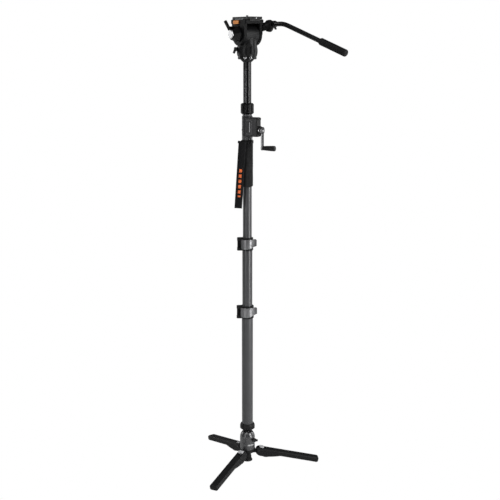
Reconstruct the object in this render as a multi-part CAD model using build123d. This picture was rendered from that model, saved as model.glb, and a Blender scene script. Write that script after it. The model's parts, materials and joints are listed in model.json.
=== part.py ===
from build123d import *
import math
import os

os.makedirs("parts", exist_ok=True)

# Video monopod with a folding three-leg foot, a crank-driven centre column and a fluid head.
# Millimetres. The origin is the centre of the centre foot's underside, +Z runs up the pole and
# +X points along the first leg. Azimuths are degrees about +Z from +X.

# Shared clearances
CUT = 1.0            # overrun of every cutting tool
RUN = 0.05           # radial clearance of a running fit
SEAT = 0.02          # radial clearance of pieces that are fixed into one another
GAP = 0.3            # clearance between neighbouring moving pieces
FREE = 0.5           # wider clearance round swinging pieces

# Telescoping tubes
TUBE_WALL = 1.5
UPPER_TUBE_WALL = 1.3
LOWER_TUBE_R = 18.0
MID_TUBE_R = 16.0
UPPER_TUBE_R = 14.0
LOWER_TUBE_SEAT = 12.6    # height of its lower end above the pan collar's
LOWER_TUBE_LENGTH = 410.0
MID_TUBE_LENGTH = 421.0
MID_TUBE_SHOWN = 223.0    # length that stands out of the tube below
UPPER_TUBE_LENGTH = 524.0
UPPER_TUBE_SHOWN = 333.0
GUIDE_LENGTH = 42.0      # nylon guide on the bottom end of each sliding tube

# Flip locks
LOCK_WALL = 2.6
LOCK_HEIGHT = 41.0
LOCK_LIP = 5.0           # part of the collar that stands above the tube's end
LOCK_SPLIT = 2.2
LOCK_CHAMFER = 1.2
LEVER_HEIGHT = 31.0
LEVER_WALL = 3.4
LEVER_TAB = 20.0
LEVER_ARC_END = -50.0     # azimuth where the lever leaves the collar
LOCK_AZIMUTH = 183.0     # azimuth of the lever's hinge pin
LOCK_PIN_R = 1.6
KNUCKLE_R = 6.5
EAR_R = 7.4
EAR_HEIGHT = 9.0
LOCK_SCREW_R = 2.0
LOCK_SCREW_HEAD_R = 3.8

# Centre foot and hub
FOOT_R = 16.6
FOOT_NECK_R = 13.2
FOOT_HEIGHT = 14.0
FOOT_ROUND = 1.8
FOOT_STUD_R = 6.0
FOOT_STUD_LENGTH = 9.0
HUB_NECK_R = 12.4
HUB_NECK_HEIGHT = 9.0
HUB_R = 25.6
HUB_FLARE_HEIGHT = 10.0
HUB_BAND_HEIGHT = 10.0
HUB_SPIGOT_HEIGHT = 3.0

# Ball joint
BALL_RISE = 35.0    # height of the ball's centre above the hub
BALL_R = 17.0
LINER_WALL = 2.8
BALL_STEM_R = 7.0
LINER_MOUTH = 12.0       # height of the liner's upper rim above the ball's centre
LINER_FLOOR = 9.0        # depth of the liner's lower rim below the ball's centre
DOME_R = 24.6
DOME_SHOULDER_RISE = 2.0    # heights above the ball's centre
DOME_MID_R = 22.4
DOME_MID_RISE = 16.2
DOME_MOUTH_R = 16.8
DOME_TOP_RISE = 24.4
STEM_OPENING_R = 13.2
SEAT_TOP_DROP = 2.0
DOME_GROOVE_RISE = 4.0
DOME_GROOVE_DEPTH = 0.6
DOME_GROOVE_HEIGHT = 1.4

# Ball lock knob
KNOB_AZIMUTH = -43.0
KNOB_SCREW_R = 3.0
KNOB_HUB_R = 6.2
KNOB_HUB_LENGTH = 8.5
KNOB_WING_SPAN = 26.0
KNOB_WING_WIDTH = 7.4
KNOB_WING_DEPTH = 4.6
KNOB_TURN = -18.0

# Pan collar between the ball's stem and the lower tube
COLLAR_RISE = 3.0    # height above the dome
COLLAR_NECK_R = 12.0
COLLAR_BAND_RISE = 9.6
COLLAR_BAND_HEIGHT = 11.0
COLLAR_TOP_HEIGHT = 5.0
COLLAR_R = 24.2
COLLAR_TOP_R = 21.6
COLLAR_GRIP_FLUTES = 24
COLLAR_FLUTE_R = 1.5
RETAINER_R = 13.0
RETAINER_HEIGHT = 4.0

# Folding legs
LEG_COUNT = 3
LEG_PIVOT_R = 38.0
LEG_PIVOT_RISE = 3.5    # height above the hub's flare
LEG_ROOT_R = 10.0
LEG_SLOPE = -11.3
LEG_LENGTH = 202.5       # from the pivot to the tip
LEG_WIDTH = 28.5
LEG_DEPTH = 18.0
LEG_WALL = 3.0
LEG_TIP_ROUND = 6.5
LEG_EDGE = 1.2
TONGUE_WIDTH = 11.4
TONGUE_R = 8.5
TONGUE_DROP = 3.0        # how far the tongue's inner top lies below its round end
FORK_LENGTH = 21.0       # length of the leg's open fork from the pivot
FIN_NEAR = 14.0           # deepest stretch of the fin, measured along the leg from the pivot
FIN_FAR = 34.0
FIN_END = 66.0
FIN_DEPTH = 17.5         # depth of the fin below the pivot line
LEG_PIN_R = 2.5
LEG_RECESS_DEPTH = 0.8
LEG_RECESS_MARGIN = 3.2
TIP_LENGTH = 20.0         # solid end of the leg
TAB_WIDTH = 17.0
TAB_LENGTH = 14.0
TAB_PLATE = 2.2
TAB_START = 0.5
TAB_NOSE_LENGTH = 5.0
TAB_NOSE_DEPTH = 5.0
TAB_RELIEF_R = 30.2       # the tongue is cut down inside this radius, so that the tab passes
TAB_RELIEF_RISE = 1.9
LEG_RIBS = 4
RIB_WALL = 2.0
GUIDE_WALL = 0.45        # thickness of the nylon guides
LEVER_TAB_DROP = 9.0     # how much shorter the lever is at its thumb end
LOCK_SPLIT_AZIMUTH = 148.0
LUG_REACH = 8.0
LUG_HALF = 6.0
LUG_HEIGHT = 15.0
LUG_ROUND = 2.0

# Foam grip and wrist strap
SLEEVE_LENGTH = 147.5
SLEEVE_DROP = 18.0    # depth of its upper rim below the top of the upper tube
GRIP_R = 18.1
GRIP_ROUND = 1.6
BAND_HEIGHT = 9.0
BAND_WALL = 1.3
STRAP_DROP = 7.0    # depth below the sleeve's upper rim
STRAP_LENGTH = 206.0
STRAP_WIDTH = 23.6
STRAP_THICK = 1.3
STRAP_BAR_R = 1.5
STRAP_CENTRE_X = -15.2
STRAP_CENTRE_Y = -24.5
STRAP_LEAN = 3.7         # sideways lean of the hanging strap, degrees
STRAP_AZIMUTH = -3.0
STRAP_EAR = 2.0

# Gear housing
HOUSING_R = 16.5
HOUSING_RISE = 55.0    # height above the top of the upper tube
HOUSING_NECK_R = 14.6
HOUSING_NECK_HEIGHT = 21.0
HOUSING_CHAMFER = 1.5
BOX_DROP = 6.5    # depth of its lower side below the top of the upper tube
BOX_HEIGHT = 58.5
BOX_LEFT = 10.0
BOX_RIGHT = 43.5
BOX_FRONT = 29.0
BOX_BACK = 3.0
BOX_CORNER_R = 16.0
BOX_EDGE_R = 3.0
COVER_WALL = 4.0
COVER_SCREW_R = 1.5
COVER_SCREW_HEAD_R = 2.6
COVER_SCREW_LENGTH = 8.0
COVER_SCREW_INSET = 4.4
PANEL_LEFT = 9.0
PANEL_RIGHT = 20.0
PANEL_MARGIN = 11.0
PANEL_DEPTH = 0.8

# Rack and pinion
CRANK_AZIMUTH = -28.0
CRANK_RISE = 13.0    # height above the top of the upper tube
GEAR_MODULE = 1.0
PINION_TEETH = 14
PRESSURE_ANGLE = 20.0
PINION_ADDENDUM_SHARE = 1.0
RACK_ADDENDUM_SHARE = 0.75
TOOTH_CLEARANCE_SHARE = 0.25
BACKLASH = 0.12
GEAR_WIDTH = 6.6
RACK_PITCH_Y = 11.2      # distance of the rack's pitch line from the pole's axis
RACK_BACK_Y = 8.9
RACK_WIDTH = 7.0
RACK_BOTTOM_TEETH = 34
RACK_TOP_TEETH = 59

# Crank
SHAFT_R = 3.5
CRANK_HUB_R = 13.4
CRANK_HUB_LENGTH = 9.2
CRANK_RADIUS = 53.5
ARM_THICK = 5.2
ARM_HEAD_R = 11.0
ARM_FOOT_R = 7.0
ARM_WIDTH = 11.0
KNOB_GAP = 0.6
CRANK_KNOB_LENGTH = 40.0
CRANK_KNOB_NEAR_R = 6.4
CRANK_KNOB_R = 8.4
CRANK_KNOB_ROUND = 3.0
CRANK_PIN_R = 2.5
CRANK_CAP_R = 4.2
CRANK_CAP_HEIGHT = 1.6

# Centre column
COLUMN_R = 12.5
COLUMN_BORE_R = 7.5
COLUMN_LENGTH = 371.5
COLUMN_RISE = 222.5    # height of its upper end above the top of the upper tube
COLLAR_LOCK_R = 20.3
COLLAR_LOCK_RISE = 5.5    # height above the housing
COLLAR_LOCK_HEIGHT = 33.5
COLLAR_LOCK_CHAMFER = 3.6
COLLAR_LOCK_FLUTES = 18
COLLAR_LOCK_FLUTE_R = 2.2
CLAMP_RING_R = 16.4
TOP_PLATE_R = 20.5
TOP_PLATE_RISE = 4.0    # height above the column
TOP_PLATE_THICK = 3.0
TOP_CONE_R = 18.5
TOP_CONE_HEIGHT = 8.0
HEAD_STUD_R = 4.7625
HEAD_STUD_LENGTH = 10.0
CRANK_PIN_SHARE = 0.8    # how far the pin reaches along the knob

# Shares of neighbouring sizes, for rounded corners and swept outlines
WING_ROUND_SHARE = 0.45
FLUTE_OUT_SHARE = 0.6    # how far a flute's centre lies outside the rim, of its radius
FLUTE_INSET_SHARE = 1.5
FIN_BULGE_SHARE = 0.42
FIN_FAR_SHARE = 0.86
FIN_NEAR_SHARE = 0.93
FIN_HEEL_SHARE = 0.76
FIN_HEEL_REACH_SHARE = 0.35
FIN_ROOT_SHARE = 0.45
TAB_ROUND_SHARE = 0.8
TAB_RIDGE_SHARE = 0.4
LEVER_TAB_ROUND_SHARE = 0.6
LEVER_SWEEP_SHARE = 0.2
LEVER_RISE_SHARE = 0.7
KNOB_SWELL_SHARE = 0.3
FLANK_STEP_SHARES = (0, 0.33, 0.67, 1)
SLOT_ROUND_SHARE = 0.95
PAN_LOCK_LONG_SHARE = 0.7

# Fluid head. Its frame has X along the tilt axis towards the drag knob and Y towards the operator.
HEAD_YAW = 211.8
HEAD_BASE_R = 28.5
HEAD_BASE_HEIGHT = 9.0
PAN_SPINDLE_R = 8.0
PAN_SPINDLE_HEIGHT = 22.0
BASE_SCREW_AZIMUTHS = (-106.6, -72.2, 73.4, 107.8)
BASE_SCREW_R = 2.5
BASE_SCREW_HEAD_R = 3.9
BASE_SCREW_LENGTH = 8.0
BASE_SCREW_HEAD = 2.0
PAN_FOOT_R = 29.6
PAN_BODY_R = 31.7
PAN_SHOULDER_R = 30.0
PAN_BULGE_RISE = 11.5    # heights above the head's base
PAN_SHOULDER_RISE = 30.0
BOSS_AZIMUTH = 68.0
BOSS_HALF = 9.5
BOSS_PROUD = 2.6
BOSS_RISE = 5.5
BOSS_HEIGHT = 32.0
BOSS_GROOVE_HALF = 3.2
TILT_RISE = 34.5    # height of the tilt axis above the shoulder
DRUM_R = 31.4
DRUM_HALF = 23.7
CHEEK_R = 33.0
CHEEK_WALL = 10.0
CHEEK_CHAMFER = 1.6
PLATFORM_HALF_LENGTH = 40.0
PLATFORM_RISE = 32.4    # height of its underside above the tilt axis
PLATFORM_THICK = 12.1
PLATFORM_CORNER = 4.0
PLATFORM_CHAMFER = 1.8
CHANNEL_DEPTH = 5.5
CHANNEL_HALF = 20.4
CHANNEL_UNDERCUT = 2.2
TILT_AXLE_R = 5.0
TILT_CAP_R = 9.0
TILT_CAP_HEIGHT = 2.2

# Tilt drag knob and its bright cap
DRAG_DISC_R = 23.0
DRAG_DISC_HEIGHT = 3.4
DRAG_WIDE_R = 23.6       # across the corners
DRAG_NARROW_R = 15.6
DRAG_SIDES = 6
DRAG_LENGTH = 21.0
DRAG_CAP_R = 12.4
DRAG_CAP_HEIGHT = 3.0
DRAG_EDGE = 1.6
DRAG_TURN = 12.0

# Tilt lock lever
TILT_LOCK_Y = -24.0
TILT_LOCK_RISE = 19.0    # height above the tilt axis
TILT_LOCK_HUB_R = 5.4
TILT_LOCK_HUB_LENGTH = 13.5
TILT_LOCK_BAR_R = 5.0
TILT_LOCK_BAR_LENGTH = 31.0
TILT_LOCK_LEAN = 15.0
TILT_LOCK_FORWARD = 26.0

# Plate release button
BUTTON_REAR_Y = 5.0
BUTTON_FRONT_Y = -21.0
BUTTON_DROP = 3.1    # depth of its upper side below the platform's
BUTTON_HEIGHT = 10.6
BUTTON_PROUD = 4.6
BUTTON_DEPTH = 6.0
BUTTON_ROUND = 2.4
BUTTON_TRAVEL = 3.0

# Pan lock lever
PAN_LOCK_AZIMUTH = -19.8
PAN_LOCK_DROP = 8.5    # depth below the shoulder
PAN_LOCK_SCREW_R = 3.0
PAN_LOCK_HUB_R = 6.0
PAN_LOCK_HUB_LENGTH = 8.5
PAN_LOCK_ARM_LENGTH = 20.0
PAN_LOCK_ARM_WIDTH = 13.0
PAN_LOCK_ARM_THICK = 6.0
PAN_LOCK_TURN = 14.0
PAN_LOCK_FLARE = 24.0    # outward lean of the arm

# Quick release plate and camera screw
PLATE_HALF_LENGTH = 45.0
PLATE_HALF_WIDTH = 25.0
PLATE_GAP = 0.4    # height above the platform
PLATE_THICK = 7.6
PLATE_CORNER = 3.0
PLATE_EDGE = 1.2
PLATE_SLOT_HALF_LENGTH = 24.0
PLATE_SLOT_HALF_WIDTH = 3.6
PLATE_POCKET_HALF = 9.4
PLATE_POCKET_DEPTH = 4.6
PLATE_GROOVE_HALF = 1.0
PLATE_GROOVE_DEPTH = 0.7
PLATE_GROOVES = 4
CAMERA_SCREW_R = 3.175
CAMERA_SHOULDER_R = 3.35
CAMERA_SCREW_PROUD = 5.0
CAMERA_SCREW_HEAD_R = 8.6
CAMERA_SCREW_HEAD = 3.2
PLATE_KNOB_Y = -20.0
PLATE_KNOB_R = 7.6
PLATE_KNOB_LENGTH = 11.0
PLATE_KNOB_STEM_R = 2.6
PLATE_KNOB_LOBES = 8
PLATE_KNOB_LOBE_R = 1.3

# Pan handle
ROSETTE_Y = 38.0
ROSETTE_RISE = 26.0      # height above the tilt axis
ROSETTE_R = 17.2
ROSETTE_CHAMFER = 2.0
ROSETTE_START = 46.5     # distance of the fixed rosette from the head's middle plane
ROSETTE_WALL = 6.0
LUG_ROOT_R = 13.0
LUG_TIP_R = 12.0
LUG_ROOT_Y = 22.0
LUG_ROOT_RISE = 20.0
CLAMP_R = 18.3
CLAMP_WALL = 8.0
CLAMP_BOSS_R = 9.0
CLAMP_BOSS_HEIGHT = 5.6
SOCKET_R = 10.2
SOCKET_LENGTH = 24.0
SOCKET_RISE = 5.0        # height of the rod's axis above the rosette's centre
ROD_R = 7.0
ROD_STRAIGHT = 67.0      # from the rosette's centre to the bend
ROD_BEND_R = 80.0
HANDLE_LENGTH = 243.0    # from the bend to the tip
HANDLE_SPLAY = 15.0
HANDLE_DROOP = 20.8
GRIP_LENGTH = 101.0
HANDLE_GRIP_R = 10.7
HANDLE_GRIP_ROUND = 5.0
HANDLE_GRIP_LEAD = 5.0
HANDLE_RIBS = 12
HANDLE_RIB_DEPTH = 0.6
HANDLE_KNOB_R = 6.0
HANDLE_KNOB_LENGTH = 10.4
HANDLE_BOLT_R = 3.0
HANDLE_BOLT_END = 42.0   # distance of the bolt's end from the head's middle plane
HANDLE_WING_SPAN = 26.0
HANDLE_WING_THICK = 4.4
HANDLE_KNOB_TURN = 36.0

# Heights above the floor, worked out upwards from the foot
HUB_NECK_TOP_Z = FOOT_HEIGHT + HUB_NECK_HEIGHT
HUB_SKIRT_Z = HUB_NECK_TOP_Z + HUB_FLARE_HEIGHT
HUB_TOP_Z = HUB_SKIRT_Z + HUB_BAND_HEIGHT
LEG_PIVOT_Z = HUB_SKIRT_Z + LEG_PIVOT_RISE
TAB_RELIEF_Z = LEG_PIVOT_Z + TAB_RELIEF_RISE
DOME_GROOVE_Z = HUB_TOP_Z + DOME_GROOVE_RISE
BALL_Z = HUB_TOP_Z + BALL_RISE
SEAT_TOP_Z = BALL_Z - SEAT_TOP_DROP
DOME_SHOULDER_Z = BALL_Z + DOME_SHOULDER_RISE
DOME_MID_Z = BALL_Z + DOME_MID_RISE
DOME_TOP_Z = BALL_Z + DOME_TOP_RISE
COLLAR_BOTTOM_Z = DOME_TOP_Z + COLLAR_RISE
COLLAR_BAND_LOW_Z = COLLAR_BOTTOM_Z + COLLAR_BAND_RISE
COLLAR_BAND_HIGH_Z = COLLAR_BAND_LOW_Z + COLLAR_BAND_HEIGHT
COLLAR_TOP_Z = COLLAR_BAND_HIGH_Z + COLLAR_TOP_HEIGHT
LOWER_TUBE_BOTTOM_Z = COLLAR_BOTTOM_Z + LOWER_TUBE_SEAT
LOWER_TUBE_TOP_Z = LOWER_TUBE_BOTTOM_Z + LOWER_TUBE_LENGTH
MID_TUBE_TOP_Z = LOWER_TUBE_TOP_Z + MID_TUBE_SHOWN
MID_TUBE_BOTTOM_Z = MID_TUBE_TOP_Z - MID_TUBE_LENGTH
UPPER_TUBE_TOP_Z = MID_TUBE_TOP_Z + UPPER_TUBE_SHOWN
UPPER_TUBE_BOTTOM_Z = UPPER_TUBE_TOP_Z - UPPER_TUBE_LENGTH
GRIP_TOP_Z = UPPER_TUBE_TOP_Z - SLEEVE_DROP
GRIP_BOTTOM_Z = GRIP_TOP_Z - SLEEVE_LENGTH
STRAP_TOP_Z = GRIP_TOP_Z - STRAP_DROP
BOX_LOW_Z = UPPER_TUBE_TOP_Z - BOX_DROP
BOX_HIGH_Z = BOX_LOW_Z + BOX_HEIGHT
CRANK_Z = UPPER_TUBE_TOP_Z + CRANK_RISE
HOUSING_TOP_Z = UPPER_TUBE_TOP_Z + HOUSING_RISE
HOUSING_NECK_TOP_Z = HOUSING_TOP_Z + HOUSING_NECK_HEIGHT
COLLAR_LOCK_LOW_Z = HOUSING_TOP_Z + COLLAR_LOCK_RISE
COLLAR_LOCK_HIGH_Z = COLLAR_LOCK_LOW_Z + COLLAR_LOCK_HEIGHT
COLUMN_TOP_Z = UPPER_TUBE_TOP_Z + COLUMN_RISE
COLUMN_BOTTOM_Z = COLUMN_TOP_Z - COLUMN_LENGTH
TOP_PLATE_Z = COLUMN_TOP_Z + TOP_PLATE_RISE
TOP_CONE_Z = TOP_PLATE_Z - TOP_CONE_HEIGHT
HEAD_BASE_TOP_Z = TOP_PLATE_Z + HEAD_BASE_HEIGHT
PAN_BULGE_Z = HEAD_BASE_TOP_Z + PAN_BULGE_RISE
PAN_SHOULDER_Z = HEAD_BASE_TOP_Z + PAN_SHOULDER_RISE
PAN_LOCK_Z = PAN_SHOULDER_Z - PAN_LOCK_DROP
BOSS_LOW_Z = HEAD_BASE_TOP_Z + BOSS_RISE
BOSS_TOP_Z = BOSS_LOW_Z + BOSS_HEIGHT
TILT_Z = PAN_SHOULDER_Z + TILT_RISE
PLATFORM_LOW_Z = TILT_Z + PLATFORM_RISE
PLATFORM_HIGH_Z = PLATFORM_LOW_Z + PLATFORM_THICK
CHANNEL_FLOOR_Z = PLATFORM_HIGH_Z - CHANNEL_DEPTH
BUTTON_HIGH_Z = PLATFORM_HIGH_Z - BUTTON_DROP
BUTTON_LOW_Z = BUTTON_HIGH_Z - BUTTON_HEIGHT
PLATE_LOW_Z = PLATFORM_HIGH_Z + PLATE_GAP
PLATE_HIGH_Z = PLATE_LOW_Z + PLATE_THICK



UP = (Align.CENTER, Align.CENTER, Align.MIN)
CORNER = (Align.MIN, Align.MIN, Align.MIN)


def rod(radius, low, high):
    """Upright cylinder on the Z axis between two heights."""
    return Pos(0, 0, low) * Cylinder(radius, high - low, align=UP)


def tube(outer, inner, low, high):
    """Upright tube on the Z axis between two heights."""
    return rod(outer, low, high) - rod(inner, low - CUT, high + CUT)


def rod_x(radius, start, end, y=0, z=0):
    """Cylinder along X."""
    return Pos(start, y, z) * Rot(0, 90, 0) * Cylinder(radius, end - start, align=UP)


def rod_y(radius, start, end, x=0, z=0):
    """Cylinder along Y."""
    return Pos(x, start, z) * Rot(-90, 0, 0) * Cylinder(radius, end - start, align=UP)


def block(x0, x1, y0, y1, z0, z1):
    """Box between two corners."""
    return Pos(x0, y0, z0) * Box(x1 - x0, y1 - y0, z1 - z0, align=CORNER)


def turned(*points):
    """Solid of revolution about Z from a closed outline of (radius, height) points."""
    return revolve(Plane.XZ * make_face(Polyline(*points, close=True)), Axis.Z)


def turned_edges(*edges):
    """Solid of revolution about Z from a closed outline of (radius, height) lines and arcs."""
    return revolve(Plane.XZ * make_face(list(edges)), Axis.Z)


def side_plate(edges, half_width):
    """Plate with an outline of (x, z) lines and arcs, centred on Y = 0."""
    return extrude(Plane.XZ * make_face(list(edges)), half_width, both=True)


def around(count, piece):
    """Copies of a piece spaced evenly about the pole."""
    return [Rot(0, 0, 360 * index / count) * piece for index in range(count)]


def bevel(piece, low, high, size):
    """Chamfer the circular rims of a turned piece that lie at the two given heights."""
    rims = [
        edge for edge in piece.edges().filter_by(GeomType.CIRCLE)
        if min(abs(edge.center().Z - low), abs(edge.center().Z - high)) < size
    ]
    return chamfer(rims, size)


def foot_pad():
    """Rubber foot under the hub with a flared rim and a socket for the hub's stud."""
    outline = [
        Line((0, 0), (FOOT_R - FOOT_ROUND, 0)),
        ThreePointArc(
            (FOOT_R - FOOT_ROUND, 0),
            (FOOT_R, FOOT_ROUND),
            (FOOT_R - FOOT_ROUND / 2, FOOT_ROUND * 2),
        ),
        ThreePointArc(
            (FOOT_R - FOOT_ROUND / 2, FOOT_ROUND * 2),
            (FOOT_NECK_R + FOOT_ROUND / 2, FOOT_HEIGHT / 2),
            (FOOT_NECK_R, FOOT_HEIGHT),
        ),
        Line((FOOT_NECK_R, FOOT_HEIGHT), (0, FOOT_HEIGHT)),
        Line((0, FOOT_HEIGHT), (0, 0)),
    ]
    socket = rod(FOOT_STUD_R + SEAT, FOOT_HEIGHT - FOOT_STUD_LENGTH, FOOT_HEIGHT + CUT)
    return turned_edges(*outline) - socket


def base_hub():
    """Cast hub: neck and skirt turned in one, three hinge tongues and a spigot for the dome."""
    core = turned_edges(
        Line((0, FOOT_HEIGHT - FOOT_STUD_LENGTH), (FOOT_STUD_R, FOOT_HEIGHT - FOOT_STUD_LENGTH)),
        Line((FOOT_STUD_R, FOOT_HEIGHT - FOOT_STUD_LENGTH), (FOOT_STUD_R, FOOT_HEIGHT)),
        Line((FOOT_STUD_R, FOOT_HEIGHT), (HUB_NECK_R, FOOT_HEIGHT)),
        Line((HUB_NECK_R, FOOT_HEIGHT), (HUB_NECK_R, HUB_NECK_TOP_Z)),
        ThreePointArc(
            (HUB_NECK_R, HUB_NECK_TOP_Z),
            ((HUB_NECK_R * 2 + HUB_R) / 3, (HUB_NECK_TOP_Z + HUB_SKIRT_Z * 2) / 3),
            (HUB_R, HUB_SKIRT_Z),
        ),
        Line((HUB_R, HUB_SKIRT_Z), (HUB_R, HUB_TOP_Z)),
        Line((HUB_R, HUB_TOP_Z), (BALL_R + LINER_WALL, HUB_TOP_Z)),
        Line(
            (BALL_R + LINER_WALL, HUB_TOP_Z),
            (BALL_R + LINER_WALL, HUB_TOP_Z + HUB_SPIGOT_HEIGHT),
        ),
        Line((BALL_R + LINER_WALL, HUB_TOP_Z + HUB_SPIGOT_HEIGHT), (0, HUB_TOP_Z + HUB_SPIGOT_HEIGHT)),
        Line((0, HUB_TOP_Z + HUB_SPIGOT_HEIGHT), (0, FOOT_HEIGHT - FOOT_STUD_LENGTH)),
    )
    half = TONGUE_WIDTH / 2
    web = block(0, LEG_PIVOT_R, -half, half, LEG_PIVOT_Z - TONGUE_R, LEG_PIVOT_Z + TONGUE_R - TONGUE_DROP)
    web -= block(HUB_R, TAB_RELIEF_R, -half - CUT, half + CUT, TAB_RELIEF_Z, LEG_PIVOT_Z + TONGUE_R)
    tongue = web + rod_y(TONGUE_R, -half, half, x=LEG_PIVOT_R, z=LEG_PIVOT_Z)
    pin_hole = rod_y(LEG_PIN_R + SEAT, -LEG_WIDTH, LEG_WIDTH, x=LEG_PIVOT_R, z=LEG_PIVOT_Z)
    for piece in around(LEG_COUNT, tongue):
        core += piece
    for hole in around(LEG_COUNT, pin_hole):
        core -= hole
    return core


def ball_housing():
    """Domed housing over the ball, with a bored skirt and a mouth that the stem tilts in."""
    bore = BALL_R + LINER_WALL + RUN
    shell = turned_edges(
        Line((0, HUB_TOP_Z), (DOME_R, HUB_TOP_Z)),
        Line((DOME_R, HUB_TOP_Z), (DOME_R, DOME_SHOULDER_Z)),
        ThreePointArc((DOME_R, DOME_SHOULDER_Z), (DOME_MID_R, DOME_MID_Z), (DOME_MOUTH_R, DOME_TOP_Z)),
        Line((DOME_MOUTH_R, DOME_TOP_Z), (0, DOME_TOP_Z)),
        Line((0, DOME_TOP_Z), (0, HUB_TOP_Z)),
    )
    shell -= rod(bore, HUB_TOP_Z - CUT, BALL_Z)
    shell -= Pos(0, 0, BALL_Z) * Sphere(bore)
    shell -= Pos(0, 0, BALL_Z) * Cone(
        BALL_STEM_R + 2 * GAP, STEM_OPENING_R, DOME_TOP_Z + CUT - BALL_Z, align=UP
    )
    groove = tube(DOME_R + CUT, DOME_R - DOME_GROOVE_DEPTH, DOME_GROOVE_Z, DOME_GROOVE_Z + DOME_GROOVE_HEIGHT)
    screw_hole = Rot(0, 0, KNOB_AZIMUTH) * rod_x(KNOB_SCREW_R + RUN, 0, DOME_R * 2, z=BALL_Z)
    return shell - groove - screw_hole


def ball_seat():
    """Nylon cup that fills the housing's bore under the ball's liner."""
    outer = BALL_R + LINER_WALL
    cup = rod(outer, HUB_TOP_Z + HUB_SPIGOT_HEIGHT, SEAT_TOP_Z)
    cup -= Pos(0, 0, BALL_Z) * Sphere(BALL_R + LINER_WALL + RUN)
    return cup


def ball_liner():
    """Spherical shell that rocks in the seat and carries the ball."""
    centre = Pos(0, 0, BALL_Z)
    shell = centre * (Sphere(BALL_R + LINER_WALL) - Sphere(BALL_R + RUN))
    shell -= rod(DOME_R * 2, BALL_Z + LINER_MOUTH, BALL_Z + DOME_R * 2)
    shell -= rod(DOME_R * 2, BALL_Z - DOME_R * 2, BALL_Z - LINER_FLOOR)
    return shell


def ball_stem():
    """Ball and spindle turned in one piece."""
    spindle = rod(BALL_STEM_R, BALL_Z, LOWER_TUBE_BOTTOM_Z + GAP)
    flat = rod(BALL_R, BALL_Z - BALL_R - CUT, BALL_Z - BALL_R + LINER_WALL)
    return Pos(0, 0, BALL_Z) * Sphere(BALL_R) + spindle - flat


def ball_lock_knob():
    """Wing knob with its clamp screw, on the side of the dome."""
    tip = BALL_R + LINER_WALL + GAP
    screw = rod_x(KNOB_SCREW_R, tip, DOME_R + GAP)
    hub = rod_x(KNOB_HUB_R, DOME_R + GAP, DOME_R + GAP + KNOB_HUB_LENGTH)
    wing_start = DOME_R + GAP + KNOB_HUB_LENGTH - KNOB_WING_DEPTH
    half = KNOB_WING_SPAN / 2
    wings = block(
        wing_start,
        wing_start + KNOB_WING_DEPTH + LEG_EDGE,
        -half,
        half,
        -KNOB_WING_WIDTH / 2,
        KNOB_WING_WIDTH / 2,
    )
    wings = fillet(wings.edges().filter_by(Axis.X), KNOB_WING_WIDTH * WING_ROUND_SHARE)
    wings -= block(
        wing_start - CUT,
        wing_start + KNOB_WING_DEPTH / 2,
        -half - CUT,
        half + CUT,
        -KNOB_WING_WIDTH,
        KNOB_WING_WIDTH,
    ) - rod_x(KNOB_HUB_R, 0, DOME_R * 2)
    knob = screw + hub + wings
    return Rot(0, 0, KNOB_AZIMUTH) * Pos(0, 0, BALL_Z) * Rot(KNOB_TURN, 0, 0) * knob


def pan_collar():
    """Fluted collar that carries the lower tube and turns on the ball's spindle."""
    body = turned(
        (0, COLLAR_BOTTOM_Z),
        (COLLAR_NECK_R, COLLAR_BOTTOM_Z),
        (COLLAR_NECK_R, COLLAR_BOTTOM_Z + GUIDE_WALL),
        (COLLAR_R, COLLAR_BAND_LOW_Z),
        (COLLAR_R, COLLAR_BAND_HIGH_Z),
        (COLLAR_TOP_R, COLLAR_TOP_Z),
        (0, COLLAR_TOP_Z),
    )
    body -= rod(BALL_STEM_R + RUN, COLLAR_BOTTOM_Z - CUT, COLLAR_TOP_Z)
    body -= rod(LOWER_TUBE_R + SEAT, LOWER_TUBE_BOTTOM_Z, COLLAR_TOP_Z + CUT)
    flute = Pos(COLLAR_R + COLLAR_FLUTE_R * FLUTE_OUT_SHARE, 0, 0) * rod(
        COLLAR_FLUTE_R, COLLAR_BAND_LOW_Z + COLLAR_FLUTE_R, COLLAR_BAND_HIGH_Z - COLLAR_FLUTE_R
    )
    for cutter in around(COLLAR_GRIP_FLUTES, flute):
        body -= cutter
    return body


def pan_retainer():
    """Nut that holds the collar on the spindle."""
    low = LOWER_TUBE_BOTTOM_Z + GAP
    return rod(RETAINER_R, low, low + RETAINER_HEIGHT)


def leg_place(index):
    """Frame of one leg: origin at its pivot, X along the leg, Y along the pin."""
    turn = Rot(0, 0, 360 * index / LEG_COUNT)
    return turn * Pos(LEG_PIVOT_R, 0, LEG_PIVOT_Z) * Rot(0, -LEG_SLOPE, 0)


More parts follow.
